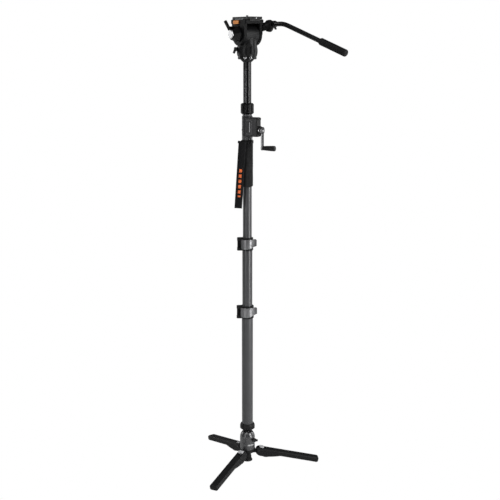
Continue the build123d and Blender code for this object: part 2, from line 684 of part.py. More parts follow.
def leg_blank():
    """Solid leg with its root, fin and rounded tip, before it is hollowed."""
    top = LEG_ROOT_R
    bottom = LEG_ROOT_R - LEG_DEPTH
    diagonal = math.sqrt(1 / 2)
    edges = [
        ThreePointArc((-LEG_ROOT_R, 0), (-LEG_ROOT_R * diagonal, LEG_ROOT_R * diagonal), (0, top)),
        Line((0, top), (LEG_LENGTH - LEG_TIP_ROUND, top)),
        ThreePointArc(
            (LEG_LENGTH - LEG_TIP_ROUND, top),
            (LEG_LENGTH - LEG_TIP_ROUND * (1 - diagonal), top - LEG_TIP_ROUND * (1 - diagonal)),
            (LEG_LENGTH, top - LEG_TIP_ROUND),
        ),
        Line((LEG_LENGTH, top - LEG_TIP_ROUND), (LEG_LENGTH, bottom + LEG_TIP_ROUND)),
        ThreePointArc(
            (LEG_LENGTH, bottom + LEG_TIP_ROUND),
            (LEG_LENGTH - LEG_TIP_ROUND * (1 - diagonal), bottom + LEG_TIP_ROUND * (1 - diagonal)),
            (LEG_LENGTH - LEG_TIP_ROUND, bottom),
        ),
        Line((LEG_LENGTH - LEG_TIP_ROUND, bottom), (FIN_END, bottom)),
        ThreePointArc(
            (FIN_END, bottom),
            ((FIN_END + FIN_FAR) / 2, bottom - (FIN_DEPTH + bottom) * FIN_BULGE_SHARE),
            (FIN_FAR, -FIN_DEPTH * FIN_FAR_SHARE),
        ),
        ThreePointArc(
            (FIN_FAR, -FIN_DEPTH * FIN_FAR_SHARE),
            ((FIN_FAR + FIN_NEAR) / 2, -FIN_DEPTH),
            (FIN_NEAR, -FIN_DEPTH * FIN_NEAR_SHARE),
        ),
        ThreePointArc(
            (FIN_NEAR, -FIN_DEPTH * FIN_NEAR_SHARE),
            (-LEG_ROOT_R * FIN_HEEL_REACH_SHARE, -FIN_DEPTH * FIN_HEEL_SHARE),
            (-LEG_ROOT_R, -FIN_DEPTH * FIN_ROOT_SHARE),
        ),
        Line((-LEG_ROOT_R, -FIN_DEPTH * FIN_ROOT_SHARE), (-LEG_ROOT_R, 0)),
    ]
    blank = side_plate(edges, LEG_WIDTH / 2)
    tip_edges = blank.edges().filter_by(Axis.Z).sort_by(Axis.X)[-2:]
    blank = fillet(tip_edges, LEG_TIP_ROUND)
    return blank


def leg(index):
    """Cast leg: forked root on the hinge pin, ribbed channel below, recessed top."""
    half = LEG_WIDTH / 2
    bottom = LEG_ROOT_R - LEG_DEPTH
    tip_start = LEG_LENGTH - TIP_LENGTH
    body = leg_blank()
    slot_half = TONGUE_WIDTH / 2 + GAP
    body -= block(
        -LEG_ROOT_R - CUT, FORK_LENGTH, -slot_half, slot_half, -FIN_DEPTH - CUT, LEG_ROOT_R + CUT
    )
    inner = half - LEG_WALL
    channel = block(
        FORK_LENGTH + LEG_WALL, tip_start - LEG_WALL, -inner, inner, -FIN_DEPTH - CUT, LEG_ROOT_R - LEG_WALL
    )
    span = tip_start - LEG_WALL - FORK_LENGTH - LEG_WALL
    for rib in range(1, LEG_RIBS + 1):
        middle = FORK_LENGTH + LEG_WALL + span * rib / (LEG_RIBS + 1)
        channel -= block(
            middle - RIB_WALL / 2, middle + RIB_WALL / 2, -half, half, bottom, LEG_ROOT_R
        )
    body -= channel
    recess_half = half - LEG_RECESS_MARGIN
    recess = block(
        FORK_LENGTH + LEG_WALL,
        tip_start - LEG_WALL,
        -recess_half,
        recess_half,
        LEG_ROOT_R - LEG_RECESS_DEPTH,
        LEG_ROOT_R + CUT,
    )
    body -= fillet(recess.edges().filter_by(Axis.Z), LEG_RECESS_MARGIN)
    body -= rod_y(LEG_PIN_R + RUN, -half - CUT, half + CUT)
    return leg_place(index) * body


def leg_tab(index):
    """Sliding release tab: bright thumb plate with a latch nose between the fork's cheeks."""
    top = LEG_ROOT_R + GAP
    plate = block(TAB_START, TAB_START + TAB_LENGTH, -TAB_WIDTH / 2, TAB_WIDTH / 2, top, top + TAB_PLATE)
    plate = fillet(plate.edges().filter_by(Axis.Z), TAB_PLATE * TAB_ROUND_SHARE)
    nose_half = TONGUE_WIDTH / 2
    nose_start = TONGUE_R + FREE
    nose = block(
        nose_start, nose_start + TAB_NOSE_LENGTH, -nose_half, nose_half, top - TAB_NOSE_DEPTH, top + TAB_PLATE / 2
    )
    ridge = rod_y(
        TAB_PLATE * TAB_RIDGE_SHARE,
        -TAB_WIDTH * TAB_RIDGE_SHARE,
        TAB_WIDTH * TAB_RIDGE_SHARE,
        x=TAB_START + TAB_LENGTH * TAB_ROUND_SHARE,
        z=top + TAB_PLATE,
    )
    return leg_place(index) * (plate + nose + ridge)


def leg_pins():
    """Hinge pins of the three legs."""
    pin = rod_y(LEG_PIN_R, -LEG_WIDTH / 2, LEG_WIDTH / 2, x=LEG_PIVOT_R, z=LEG_PIVOT_Z)
    return Compound(children=[Part() + piece for piece in around(LEG_COUNT, pin)])


def lower_tube():
    return tube(LOWER_TUBE_R, LOWER_TUBE_R - TUBE_WALL, LOWER_TUBE_BOTTOM_Z, LOWER_TUBE_TOP_Z)


def mid_tube():
    return tube(MID_TUBE_R, MID_TUBE_R - TUBE_WALL, MID_TUBE_BOTTOM_Z, MID_TUBE_TOP_Z)


def upper_tube():
    return tube(UPPER_TUBE_R, UPPER_TUBE_R - UPPER_TUBE_WALL, UPPER_TUBE_BOTTOM_Z, UPPER_TUBE_TOP_Z)


def slide_guide(tube_r, outer_tube_r, bottom):
    """Nylon guide on the bottom end of a sliding tube, running in the tube around it."""
    outer = outer_tube_r - TUBE_WALL - RUN
    return tube(outer, tube_r + SEAT, bottom, bottom + GUIDE_LENGTH)


def band(inner, outer, start, end, low, high):
    """Upright curved wall between two azimuths."""
    def spot(radius, angle):
        turn = math.radians(angle)
        return (radius * math.cos(turn), radius * math.sin(turn))

    middle = (start + end) / 2
    edges = [
        ThreePointArc(spot(outer, start), spot(outer, middle), spot(outer, end)),
        Line(spot(outer, end), spot(inner, end)),
        ThreePointArc(spot(inner, end), spot(inner, middle), spot(inner, start)),
        Line(spot(inner, start), spot(outer, start)),
    ]
    return Pos(0, 0, low) * extrude(make_face(edges), high - low)


def lock_sizes(tube_r, tube_top):
    """Collar radius, hinge radius and heights of one flip lock."""
    collar_r = tube_r + LOCK_WALL
    hinge_r = collar_r + KNUCKLE_R + GAP
    high = tube_top + LOCK_LIP
    low = high - LOCK_HEIGHT
    return collar_r, hinge_r, low, high


def hinge_place(hinge_r):
    return Rot(0, 0, LOCK_AZIMUTH) * Pos(hinge_r, 0, 0)


def lock_collar(tube_r, inner_r, tube_top):
    """Split clamp collar on a tube's top end, with hinge ears and clamp lugs."""
    collar_r, hinge_r, low, high = lock_sizes(tube_r, tube_top)
    ring = bevel(rod(collar_r, low, high), low, high, LOCK_CHAMFER)
    for start in (low, high - EAR_HEIGHT):
        ear = hinge_place(hinge_r) * rod(EAR_R, start, start + EAR_HEIGHT)
        neck = Rot(0, 0, LOCK_AZIMUTH) * block(tube_r, hinge_r, -EAR_R, EAR_R, start, start + EAR_HEIGHT)
        ring += ear
        ring += neck
    middle = (low + high) / 2
    lug = block(
        tube_r, collar_r + LUG_REACH, -LUG_HALF, LUG_HALF, middle - LUG_HEIGHT / 2, middle + LUG_HEIGHT / 2
    )
    lug = fillet(lug.edges().filter_by(Axis.Y).sort_by(Axis.X)[-2:], LUG_ROUND)
    ring += Rot(0, 0, LOCK_SPLIT_AZIMUTH) * lug
    ring -= rod(tube_r + SEAT, low - CUT, tube_top)
    ring -= rod(inner_r + RUN, tube_top - CUT, high + CUT)
    slit = block(0, collar_r + LUG_REACH + CUT, -LOCK_SPLIT / 2, LOCK_SPLIT / 2, low - CUT, high + CUT)
    ring -= Rot(0, 0, LOCK_SPLIT_AZIMUTH) * slit
    screw_x = collar_r + LUG_REACH / 2
    screw_hole = rod_y(LOCK_SCREW_R + SEAT, -LUG_HALF - CUT, LUG_HALF + CUT, x=screw_x, z=middle)
    ring -= Rot(0, 0, LOCK_SPLIT_AZIMUTH) * screw_hole
    ring -= hinge_place(hinge_r) * rod(LOCK_PIN_R + SEAT, low - CUT, high + CUT)
    return ring


def lock_lever(tube_r, tube_top):
    """Flip lever: knuckle between the ears, curved face round the front, flared thumb tab."""
    collar_r, hinge_r, low, high = lock_sizes(tube_r, tube_top)
    middle = (low + high) / 2
    bottom = middle - LEVER_HEIGHT / 2
    top = middle + LEVER_HEIGHT / 2
    inner = collar_r + GAP
    outer = inner + LEVER_WALL
    knuckle_low = low + EAR_HEIGHT + GAP
    knuckle_high = high - EAR_HEIGHT - GAP
    clear = math.degrees((EAR_R + LEVER_WALL / 2) / outer)
    wall_start = LOCK_AZIMUTH + clear
    wall_end = 360 + LEVER_ARC_END
    lever = band(inner, outer, wall_start, wall_end, bottom, top)
    lever += band(inner, outer, LOCK_AZIMUTH + clear / 4, wall_start + clear / 4, knuckle_low, knuckle_high)
    lever += hinge_place(hinge_r) * rod(KNUCKLE_R, knuckle_low, knuckle_high)
    tab = block(inner, outer, -LEVER_WALL / 4, LEVER_TAB, bottom, top)
    tab = fillet(tab.edges().filter_by(Axis.X).sort_by(Axis.Y)[-2:], LEVER_TAB_DROP * LEVER_TAB_ROUND_SHARE)
    under = extrude(
        Plane.YZ * make_face(Polyline(
            (-LEVER_TAB, bottom - CUT),
            (LEVER_TAB + CUT, bottom - CUT),
            (LEVER_TAB + CUT, bottom + LEVER_TAB_DROP),
            (LEVER_TAB * LEVER_SWEEP_SHARE, bottom + LEVER_TAB_DROP * LEVER_RISE_SHARE),
            close=True,
        )),
        outer + CUT,
    )
    lever += Rot(0, 0, LEVER_ARC_END) * tab
    lever -= Rot(0, 0, LEVER_ARC_END) * under
    lever -= hinge_place(hinge_r) * rod(LOCK_PIN_R + RUN, low - CUT, high + CUT)
    return lever


def lock_fasteners(tube_r, tube_top):
    """Hinge pin of a flip lever, and the tension screw through the clamp lugs."""
    collar_r, hinge_r, low, high = lock_sizes(tube_r, tube_top)
    middle = (low + high) / 2
    screw_x = collar_r + LUG_REACH / 2
    head = LOCK_SCREW_R
    shank = rod_y(LOCK_SCREW_R, -LUG_HALF - head, LUG_HALF + head, x=screw_x, z=middle)
    caps = rod_y(LOCK_SCREW_HEAD_R, -LUG_HALF - head, -LUG_HALF, x=screw_x, z=middle)
    caps += rod_y(LOCK_SCREW_HEAD_R, LUG_HALF, LUG_HALF + head, x=screw_x, z=middle)
    screw = Rot(0, 0, LOCK_SPLIT_AZIMUTH) * (shank + caps)
    pin = hinge_place(hinge_r) * rod(LOCK_PIN_R, low, high)
    return Compound(children=[screw, Part() + pin])


def grip_sleeve():
    """Foam grip round the upper tube."""
    return bevel(
        rod(GRIP_R, GRIP_BOTTOM_Z, GRIP_TOP_Z), GRIP_BOTTOM_Z, GRIP_TOP_Z, GRIP_ROUND
    ) - rod(UPPER_TUBE_R + SEAT, GRIP_BOTTOM_Z - CUT, GRIP_TOP_Z + CUT)


def strap_place():
    """Frame of the strap's bar: X along the bar, Z up the hanging strap."""
    return Rot(0, 0, STRAP_AZIMUTH) * Pos(STRAP_CENTRE_X, STRAP_CENTRE_Y, STRAP_TOP_Z) * Rot(0, STRAP_LEAN, 0)


def strap_band():
    """Band round the top of the grip, with two ears and the bar that the strap hangs on."""
    ring = tube(GRIP_R + BAND_WALL, GRIP_R + SEAT, STRAP_TOP_Z - BAND_HEIGHT / 2, STRAP_TOP_Z + BAND_HEIGHT / 2)
    reach = STRAP_WIDTH / 2 + GAP
    ears = rod_x(STRAP_BAR_R, -reach - STRAP_EAR, reach + STRAP_EAR)
    for side in (-1, 1):
        inner = side * reach
        outer = side * (reach + STRAP_EAR)
        ears += rod_x(STRAP_BAR_R * 2, min(inner, outer), max(inner, outer))
        ears += block(
            min(inner, outer), max(inner, outer), 0, GRIP_R, -STRAP_BAR_R * 2, STRAP_BAR_R * 2
        )
    ears += block(
        -reach - STRAP_EAR, STRAP_EAR * 2, GRIP_R - STRAP_EAR, GRIP_R, -STRAP_BAR_R * 2, STRAP_BAR_R * 2
    )
    return ring + (strap_place() * ears - rod(GRIP_R + BAND_WALL / 2, GRIP_BOTTOM_Z, GRIP_TOP_Z + GRIP_R))


def wrist_strap():
    """Webbing loop that hangs flat from its bar."""
    inner = STRAP_BAR_R + RUN * 2
    outer = inner + STRAP_THICK
    half = STRAP_WIDTH / 2
    loop = block(-half, half, -outer, outer, -STRAP_LENGTH + outer, 0)
    loop += rod_x(outer, -half, half) + rod_x(outer, -half, half, z=-STRAP_LENGTH + outer)
    hole = block(-half - CUT, half + CUT, -inner, inner, -STRAP_LENGTH + outer, 0)
    hole += rod_x(inner, -half - CUT, half + CUT)
    hole += rod_x(inner, -half - CUT, half + CUT, z=-STRAP_LENGTH + outer)
    return strap_place() * (loop - hole)


def crank_place():
    """Frame of the crank gear: X along the crank's shaft, Z up."""
    return Rot(0, 0, CRANK_AZIMUTH)


def pinion_radius():
    return GEAR_MODULE * PINION_TEETH / 2


def shaft_y():
    """Place of the shaft in front of the pole's axis, along the gear frame's Y."""
    return -RACK_PITCH_Y - pinion_radius()


def box_outline():
    """Plan of the gear box: deep round at the pole, square corners at the crank's end."""
    left = -BOX_LEFT
    front = -BOX_FRONT
    diagonal = 1 - math.sqrt(1 / 2)
    return [
        Line((left, -BOX_BACK), (left, front + BOX_CORNER_R)),
        ThreePointArc(
            (left, front + BOX_CORNER_R),
            (left + BOX_CORNER_R * diagonal, front + BOX_CORNER_R * diagonal),
            (left + BOX_CORNER_R, front),
        ),
        Line((left + BOX_CORNER_R, front), (BOX_RIGHT, front)),
        Line((BOX_RIGHT, front), (BOX_RIGHT, -BOX_BACK)),
        Line((BOX_RIGHT, -BOX_BACK), (left, -BOX_BACK)),
    ]


def gear_housing():
    """Cast housing round the column, with the gear box on its front and a threaded neck."""
    body = rod(HOUSING_R, GRIP_TOP_Z, HOUSING_TOP_Z)
    body = bevel(body, HOUSING_TOP_Z, HOUSING_TOP_Z, HOUSING_CHAMFER)
    body += rod(HOUSING_NECK_R, HOUSING_TOP_Z - CUT, HOUSING_NECK_TOP_Z)
    box = Pos(0, 0, BOX_LOW_Z) * extrude(make_face(box_outline()), BOX_HIGH_Z - BOX_LOW_Z)
    rims = box.faces().sort_by(Axis.Z)[-1].edges() + box.faces().sort_by(Axis.Z)[0].edges()
    rims = [edge for edge in rims if edge.center().Y < -BOX_BACK - CUT and edge.center().X < BOX_RIGHT - CUT]
    box = chamfer(rims, BOX_EDGE_R)
    panel = block(
        PANEL_LEFT,
        PANEL_RIGHT,
        -BOX_FRONT - CUT,
        -BOX_FRONT + PANEL_DEPTH,
        BOX_LOW_Z + PANEL_MARGIN,
        BOX_HIGH_Z - PANEL_MARGIN,
    )
    box -= fillet(panel.edges().filter_by(Axis.Y), BOX_EDGE_R)
    gear_room = pinion_radius() + GEAR_MODULE + FREE
    room_half = GEAR_WIDTH / 2 + FREE
    for hole in cover_screw_spots():
        box -= rod_x(COVER_SCREW_R + SEAT, BOX_RIGHT - COVER_SCREW_LENGTH, BOX_RIGHT + CUT, y=hole[0], z=hole[1])
    body += crank_place() * box
    body -= rod(COLUMN_R + RUN, GRIP_TOP_Z - CUT, HOUSING_NECK_TOP_Z + CUT)
    body -= rod(UPPER_TUBE_R + SEAT, GRIP_TOP_Z - CUT, UPPER_TUBE_TOP_Z)
    body -= crank_place() * rod_x(gear_room, -room_half, room_half, y=shaft_y(), z=CRANK_Z)
    body -= crank_place() * rod_x(SHAFT_R + RUN, -BOX_LEFT * 2, BOX_RIGHT + CUT, y=shaft_y(), z=CRANK_Z)
    return body


def cover_screw_spots():
    """(y, z) places of the cover's four screws."""
    return [
        (y, z)
        for y in (-BOX_FRONT + COVER_SCREW_INSET, -BOX_BACK - COVER_SCREW_INSET)
        for z in (BOX_LOW_Z + COVER_SCREW_INSET, BOX_HIGH_Z - COVER_SCREW_INSET)
    ]


def gear_cover():
    """End cover of the gear box with the shaft's bearing hole."""
    plate = block(BOX_RIGHT, BOX_RIGHT + COVER_WALL, -BOX_FRONT, -BOX_BACK, BOX_LOW_Z, BOX_HIGH_Z)
    plate = fillet(plate.edges().filter_by(Axis.X), BOX_EDGE_R)
    plate = chamfer(plate.faces().sort_by(Axis.X)[-1].edges(), COVER_WALL / 4)
    plate -= rod_x(SHAFT_R + RUN, BOX_RIGHT - CUT, BOX_RIGHT + COVER_WALL + CUT, y=shaft_y(), z=CRANK_Z)
    for y, z in cover_screw_spots():
        plate -= rod_x(COVER_SCREW_R + SEAT, BOX_RIGHT - CUT, BOX_RIGHT + COVER_WALL + CUT, y=y, z=z)
    return crank_place() * plate


def gear_cover_screws():
    """Four screws of the gear box's cover."""
    face = BOX_RIGHT + COVER_WALL
    screws = []
    for y, z in cover_screw_spots():
        shank = rod_x(COVER_SCREW_R, BOX_RIGHT - COVER_SCREW_LENGTH, face, y=y, z=z)
        head = rod_x(COVER_SCREW_HEAD_R, face, face + COVER_SCREW_R, y=y, z=z)
        screws.append(crank_place() * (shank + head))
    return Compound(children=screws)


def involute(angle):
    return math.tan(angle) - angle


def pinion_outline():
    """(y, z) points of the pinion's involute teeth about its own centre, one tooth on +Y."""
    pitch_r = pinion_radius()
    pressure = math.radians(PRESSURE_ANGLE)
    base_r = pitch_r * math.cos(pressure)
    tip_r = pitch_r + GEAR_MODULE * PINION_ADDENDUM_SHARE
    root_r = pitch_r - GEAR_MODULE * (RACK_ADDENDUM_SHARE + TOOTH_CLEARANCE_SHARE)
    thickness = math.pi * GEAR_MODULE / 2 - BACKLASH
    at_pitch = thickness / (2 * pitch_r) + involute(pressure)
    flank = [(root_r, at_pitch)]
    for step_share in FLANK_STEP_SHARES:
        radius = base_r + (tip_r - base_r) * step_share
        flank.append((radius, at_pitch - involute(math.acos(min(1, base_r / radius)))))
    points = []
    for tooth in range(PINION_TEETH):
        centre = 2 * math.pi * tooth / PINION_TEETH
        for radius, half in flank:
            points.append((radius * math.cos(centre - half), radius * math.sin(centre - half)))
        for radius, half in reversed(flank):
            points.append((radius * math.cos(centre + half), radius * math.sin(centre + half)))
    return points


def pinion_gear():
    """Involute pinion on the crank's shaft, in mesh with the rack."""
    teeth = extrude(Plane.YZ * make_face(Polyline(*pinion_outline(), close=True)), GEAR_WIDTH / 2, both=True)
    teeth -= rod_x(SHAFT_R + SEAT, -GEAR_WIDTH, GEAR_WIDTH)
    return crank_place() * Pos(0, shaft_y(), CRANK_Z) * teeth


def crank_shaft():
    """Shaft that carries the pinion, the hub and the crank arm."""
    end = arm_start() + ARM_THICK
    cap = rod_x(CRANK_CAP_R, end, end + CRANK_CAP_HEIGHT, y=shaft_y(), z=CRANK_Z)
    cap = chamfer(cap.edges().filter_by(GeomType.CIRCLE).sort_by(Axis.X)[-1], CRANK_CAP_HEIGHT / 2)
    shank = rod_x(SHAFT_R, -BOX_LEFT + COVER_WALL / 4, end, y=shaft_y(), z=CRANK_Z)
    return crank_place() * (shank + cap)


def crank_hub():
    """Round boss between the gear box and the crank arm."""
    start = BOX_RIGHT + COVER_WALL + GAP
    hub = rod_x(CRANK_HUB_R, start, start + CRANK_HUB_LENGTH, y=shaft_y(), z=CRANK_Z)
    rims = hub.edges().filter_by(GeomType.CIRCLE).sort_by(Axis.X)
    hub = chamfer(rims[-1], CRANK_HUB_LENGTH / 3)
    rims = hub.edges().filter_by(GeomType.CIRCLE).sort_by(Axis.X)
    hub = chamfer(rims[0], CRANK_HUB_LENGTH / 5)
    hub -= rod_x(SHAFT_R + SEAT, start - CUT, start + CRANK_HUB_LENGTH + CUT, y=shaft_y(), z=CRANK_Z)
    return crank_place() * hub


def arm_start():
    return BOX_RIGHT + COVER_WALL + GAP + CRANK_HUB_LENGTH


def crank_arm():
    """Flat crank arm, wider at the shaft than at the knob, with the knob's riveted pin."""
    start = arm_start()
    end = start + ARM_THICK
    y = shaft_y()
    foot_z = CRANK_Z - CRANK_RADIUS
    arm = rod_x(ARM_HEAD_R, start, end, y=y, z=CRANK_Z)
    arm += rod_x(ARM_FOOT_R, start, end, y=y, z=foot_z)
    arm += block(start, end, y - ARM_WIDTH / 2, y + ARM_WIDTH / 2, foot_z, CRANK_Z)
    arm -= rod_x(SHAFT_R + SEAT, start - CUT, end + CUT, y=y, z=CRANK_Z)
    arm += rod_x(CRANK_PIN_R, start, end + KNOB_GAP + CRANK_KNOB_LENGTH * CRANK_PIN_SHARE, y=y, z=foot_z)
    return crank_place() * arm


def crank_knob():
    """Turned knob that spins on its pin."""
    start = arm_start() + ARM_THICK + KNOB_GAP
    length = CRANK_KNOB_LENGTH
    near = CRANK_KNOB_NEAR_R
    wide = CRANK_KNOB_R
    turn = CRANK_KNOB_ROUND
    profile = turned_edges(
        Line((0, 0), (near, 0)),
        ThreePointArc((near, 0), (wide - (wide - near) * KNOB_SWELL_SHARE, length / 2), (wide, length - turn)),
        ThreePointArc(
            (wide, length - turn),
            (wide - turn * KNOB_SWELL_SHARE, length - turn * KNOB_SWELL_SHARE),
            (wide - turn, length),
        ),
        Line((wide - turn, length), (0, length)),
        Line((0, length), (0, 0)),
    )
    profile -= rod(CRANK_PIN_R + RUN, -CUT, length * CRANK_PIN_SHARE + GAP)
    return crank_place() * Pos(start, shaft_y(), CRANK_Z - CRANK_RADIUS) * Rot(0, 90, 0) * profile


def centre_column():
    """Sliding column with a groove for the rack."""
    body = tube(COLUMN_R, COLUMN_BORE_R, COLUMN_BOTTOM_Z, COLUMN_TOP_Z)
    half = RACK_WIDTH / 2
    groove = block(
        -half, half, -COLUMN_R - CUT, -RACK_BACK_Y, rack_low(), rack_high()
    )
    return body - crank_place() * groove


def rack_low():
    return CRANK_Z - RACK_BOTTOM_TEETH * math.pi * GEAR_MODULE


def rack_high():
    return CRANK_Z + RACK_TOP_TEETH * math.pi * GEAR_MODULE


def column_rack():
    """Toothed rack let into the column's groove, meshing with the pinion."""
    pitch = math.pi * GEAR_MODULE
    slope = math.tan(math.radians(PRESSURE_ANGLE))
    tip_y = RACK_PITCH_Y + GEAR_MODULE * RACK_ADDENDUM_SHARE
    root_y = RACK_PITCH_Y - GEAR_MODULE * (PINION_ADDENDUM_SHARE + TOOTH_CLEARANCE_SHARE)
    half_pitch = (pitch / 2 - BACKLASH) / 2
    half_tip = half_pitch - (tip_y - RACK_PITCH_Y) * slope
    half_root = half_pitch + (RACK_PITCH_Y - root_y) * slope
    points = [(-RACK_BACK_Y, rack_low()), (-root_y, rack_low())]
    for tooth in range(RACK_BOTTOM_TEETH + RACK_TOP_TEETH):
        centre = rack_low() + (tooth + 1 / 2) * pitch
        points.append((-root_y, centre - half_root))
        points.append((-tip_y, centre - half_tip))
        points.append((-tip_y, centre + half_tip))
        points.append((-root_y, centre + half_root))
    points += [(-root_y, rack_high()), (-RACK_BACK_Y, rack_high())]
    half = RACK_WIDTH / 2 - SEAT
    bar = extrude(Plane.YZ * make_face(Polyline(*points, close=True)), half, both=True)
    return crank_place() * bar


def column_lock_collar():
    """Fluted friction collar that turns on the housing's neck."""
    low = COLLAR_LOCK_LOW_Z
    high = COLLAR_LOCK_HIGH_Z
    body = bevel(rod(COLLAR_LOCK_R, low, high), low, high, COLLAR_LOCK_CHAMFER)
    flute = Pos(COLLAR_LOCK_R + COLLAR_LOCK_FLUTE_R * FLUTE_OUT_SHARE, 0, 0) * rod(
        COLLAR_LOCK_FLUTE_R,
        low + COLLAR_LOCK_CHAMFER * FLUTE_INSET_SHARE,
        high - COLLAR_LOCK_CHAMFER * FLUTE_INSET_SHARE,
    )
    for cutter in around(COLLAR_LOCK_FLUTES, flute):
        body -= cutter
    body -= rod(HOUSING_NECK_R + RUN, low - CUT, HOUSING_NECK_TOP_Z + GAP)
    body -= rod(CLAMP_RING_R + SEAT, HOUSING_NECK_TOP_Z + GAP, high - COLLAR_LOCK_CHAMFER)
    body -= rod(COLUMN_R + GAP, low, high + CUT)
    return body


def column_clamp_ring():
    """Nylon ring inside the collar that the collar closes on the column."""
    low = HOUSING_NECK_TOP_Z + GAP
    return tube(CLAMP_RING_R, COLUMN_R + RUN, low, COLLAR_LOCK_HIGH_Z - COLLAR_LOCK_CHAMFER)


def column_top():
    """Cone and flat plate on the column's top end, which the head stands on."""
    body = turned(
        (0, TOP_CONE_Z),
        (COLUMN_R + LOCK_WALL / 2, TOP_CONE_Z),
        (TOP_CONE_R, TOP_PLATE_Z - TOP_PLATE_THICK),
        (TOP_PLATE_R - HOUSING_CHAMFER, TOP_PLATE_Z - TOP_PLATE_THICK),
        (TOP_PLATE_R, TOP_PLATE_Z - TOP_PLATE_THICK + HOUSING_CHAMFER),
        (TOP_PLATE_R, TOP_PLATE_Z),
        (0, TOP_PLATE_Z),
    )
    body -= rod(COLUMN_R + SEAT, TOP_CONE_Z - CUT, COLUMN_TOP_Z)
    body -= rod(HEAD_STUD_R + SEAT, TOP_CONE_Z, TOP_PLATE_Z + CUT)
    return body


def head_stud():
    """Threaded stud that joins the head to the column."""
    return rod(HEAD_STUD_R, COLUMN_TOP_Z + GAP, TOP_PLATE_Z + HEAD_STUD_LENGTH)


def head_place():
    """Frame of the fluid head."""
    return Rot(0, 0, HEAD_YAW)


def head_base():
    """Round base that stays on the column, with the pan spindle."""
    high = TOP_PLATE_Z + HEAD_BASE_HEIGHT
    body = bevel(rod(HEAD_BASE_R, TOP_PLATE_Z, high), TOP_PLATE_Z, TOP_PLATE_Z, HOUSING_CHAMFER)
    body += rod(PAN_SPINDLE_R, high - CUT, high + PAN_SPINDLE_HEIGHT)
    body -= rod(HEAD_STUD_R + SEAT, TOP_PLATE_Z - CUT, TOP_PLATE_Z + HEAD_STUD_LENGTH + GAP)
    middle = TOP_PLATE_Z + HEAD_BASE_HEIGHT / 2
    for azimuth in BASE_SCREW_AZIMUTHS:
        body -= Rot(0, 0, azimuth) * rod_x(
            BASE_SCREW_R + SEAT, HEAD_BASE_R - BASE_SCREW_LENGTH, HEAD_BASE_R + CUT, z=middle
        )
    return body


def base_screws():
    """Set screws round the head's base."""
    middle = TOP_PLATE_Z + HEAD_BASE_HEIGHT / 2
    seat = HEAD_BASE_R - BASE_SCREW_HEAD / 2
    screws = []
    for azimuth in BASE_SCREW_AZIMUTHS:
        shank = rod_x(BASE_SCREW_R, HEAD_BASE_R - BASE_SCREW_LENGTH, HEAD_BASE_R + BASE_SCREW_HEAD, z=middle)
        head = rod_x(BASE_SCREW_HEAD_R, HEAD_BASE_R + SEAT, HEAD_BASE_R + BASE_SCREW_HEAD, z=middle)
        head = chamfer(head.edges().filter_by(GeomType.CIRCLE).sort_by(Axis.X)[-1], BASE_SCREW_HEAD / 3)
        screws.append(Rot(0, 0, azimuth) * (shank + head))
    return Compound(children=screws)


def pan_body():
    """Turning body: barrel, drum of the fluid tilt cartridge and an arched boss at the rear."""
    low = TOP_PLATE_Z + HEAD_BASE_HEIGHT + GAP
    body = turned_edges(
        Line((0, low), (PAN_FOOT_R, low)),
        ThreePointArc((PAN_FOOT_R, low), (PAN_BODY_R, PAN_BULGE_Z), (PAN_SHOULDER_R, PAN_SHOULDER_Z)),
        Line((PAN_SHOULDER_R, PAN_SHOULDER_Z), (0, PAN_SHOULDER_Z)),
        Line((0, PAN_SHOULDER_Z), (0, low)),
    )
    boss_reach = PAN_BODY_R + BOSS_PROUD
    arch_z = BOSS_TOP_Z - BOSS_HALF
    boss = block(0, boss_reach, -BOSS_HALF, BOSS_HALF, BOSS_LOW_Z, arch_z)
    boss += rod_x(BOSS_HALF, 0, boss_reach, z=arch_z)
    boss = chamfer(boss.faces().sort_by(Axis.X)[-1].edges(), BOSS_PROUD / 2)
    boss -= block(
        PAN_BODY_R, boss_reach + CUT, -BOSS_GROOVE_HALF, BOSS_GROOVE_HALF, BOSS_LOW_Z - CUT, arch_z
    )
    body += Rot(0, 0, BOSS_AZIMUTH) * boss
    neck = block(-DRUM_HALF, DRUM_HALF, -PAN_BODY_R, PAN_BODY_R, PAN_SHOULDER_Z - CUT, TILT_Z)
    body += neck & rod(PAN_SHOULDER_R, low, TILT_Z)
    body += rod_x(DRUM_R, -DRUM_HALF, DRUM_HALF, z=TILT_Z)
    outside = CHEEK_R + GAP
    for side in (-1, 1):
        start = side * DRUM_HALF
        end = side * PAN_BODY_R * 2
        body -= rod_x(outside, min(start, end), max(start, end), z=TILT_Z)
    body -= rod(PAN_SPINDLE_R + RUN, low - CUT, TOP_PLATE_Z + HEAD_BASE_HEIGHT + PAN_SPINDLE_HEIGHT + GAP)
    body -= rod_x(TILT_AXLE_R + RUN, -DRUM_HALF - CUT, DRUM_HALF + CUT, z=TILT_Z)
    lock_hole = rod_x(PAN_LOCK_SCREW_R + RUN, PAN_SPINDLE_R, PAN_BODY_R * 2, z=PAN_LOCK_Z)
    body -= Rot(0, 0, PAN_LOCK_AZIMUTH) * lock_hole
    return head_place() * body


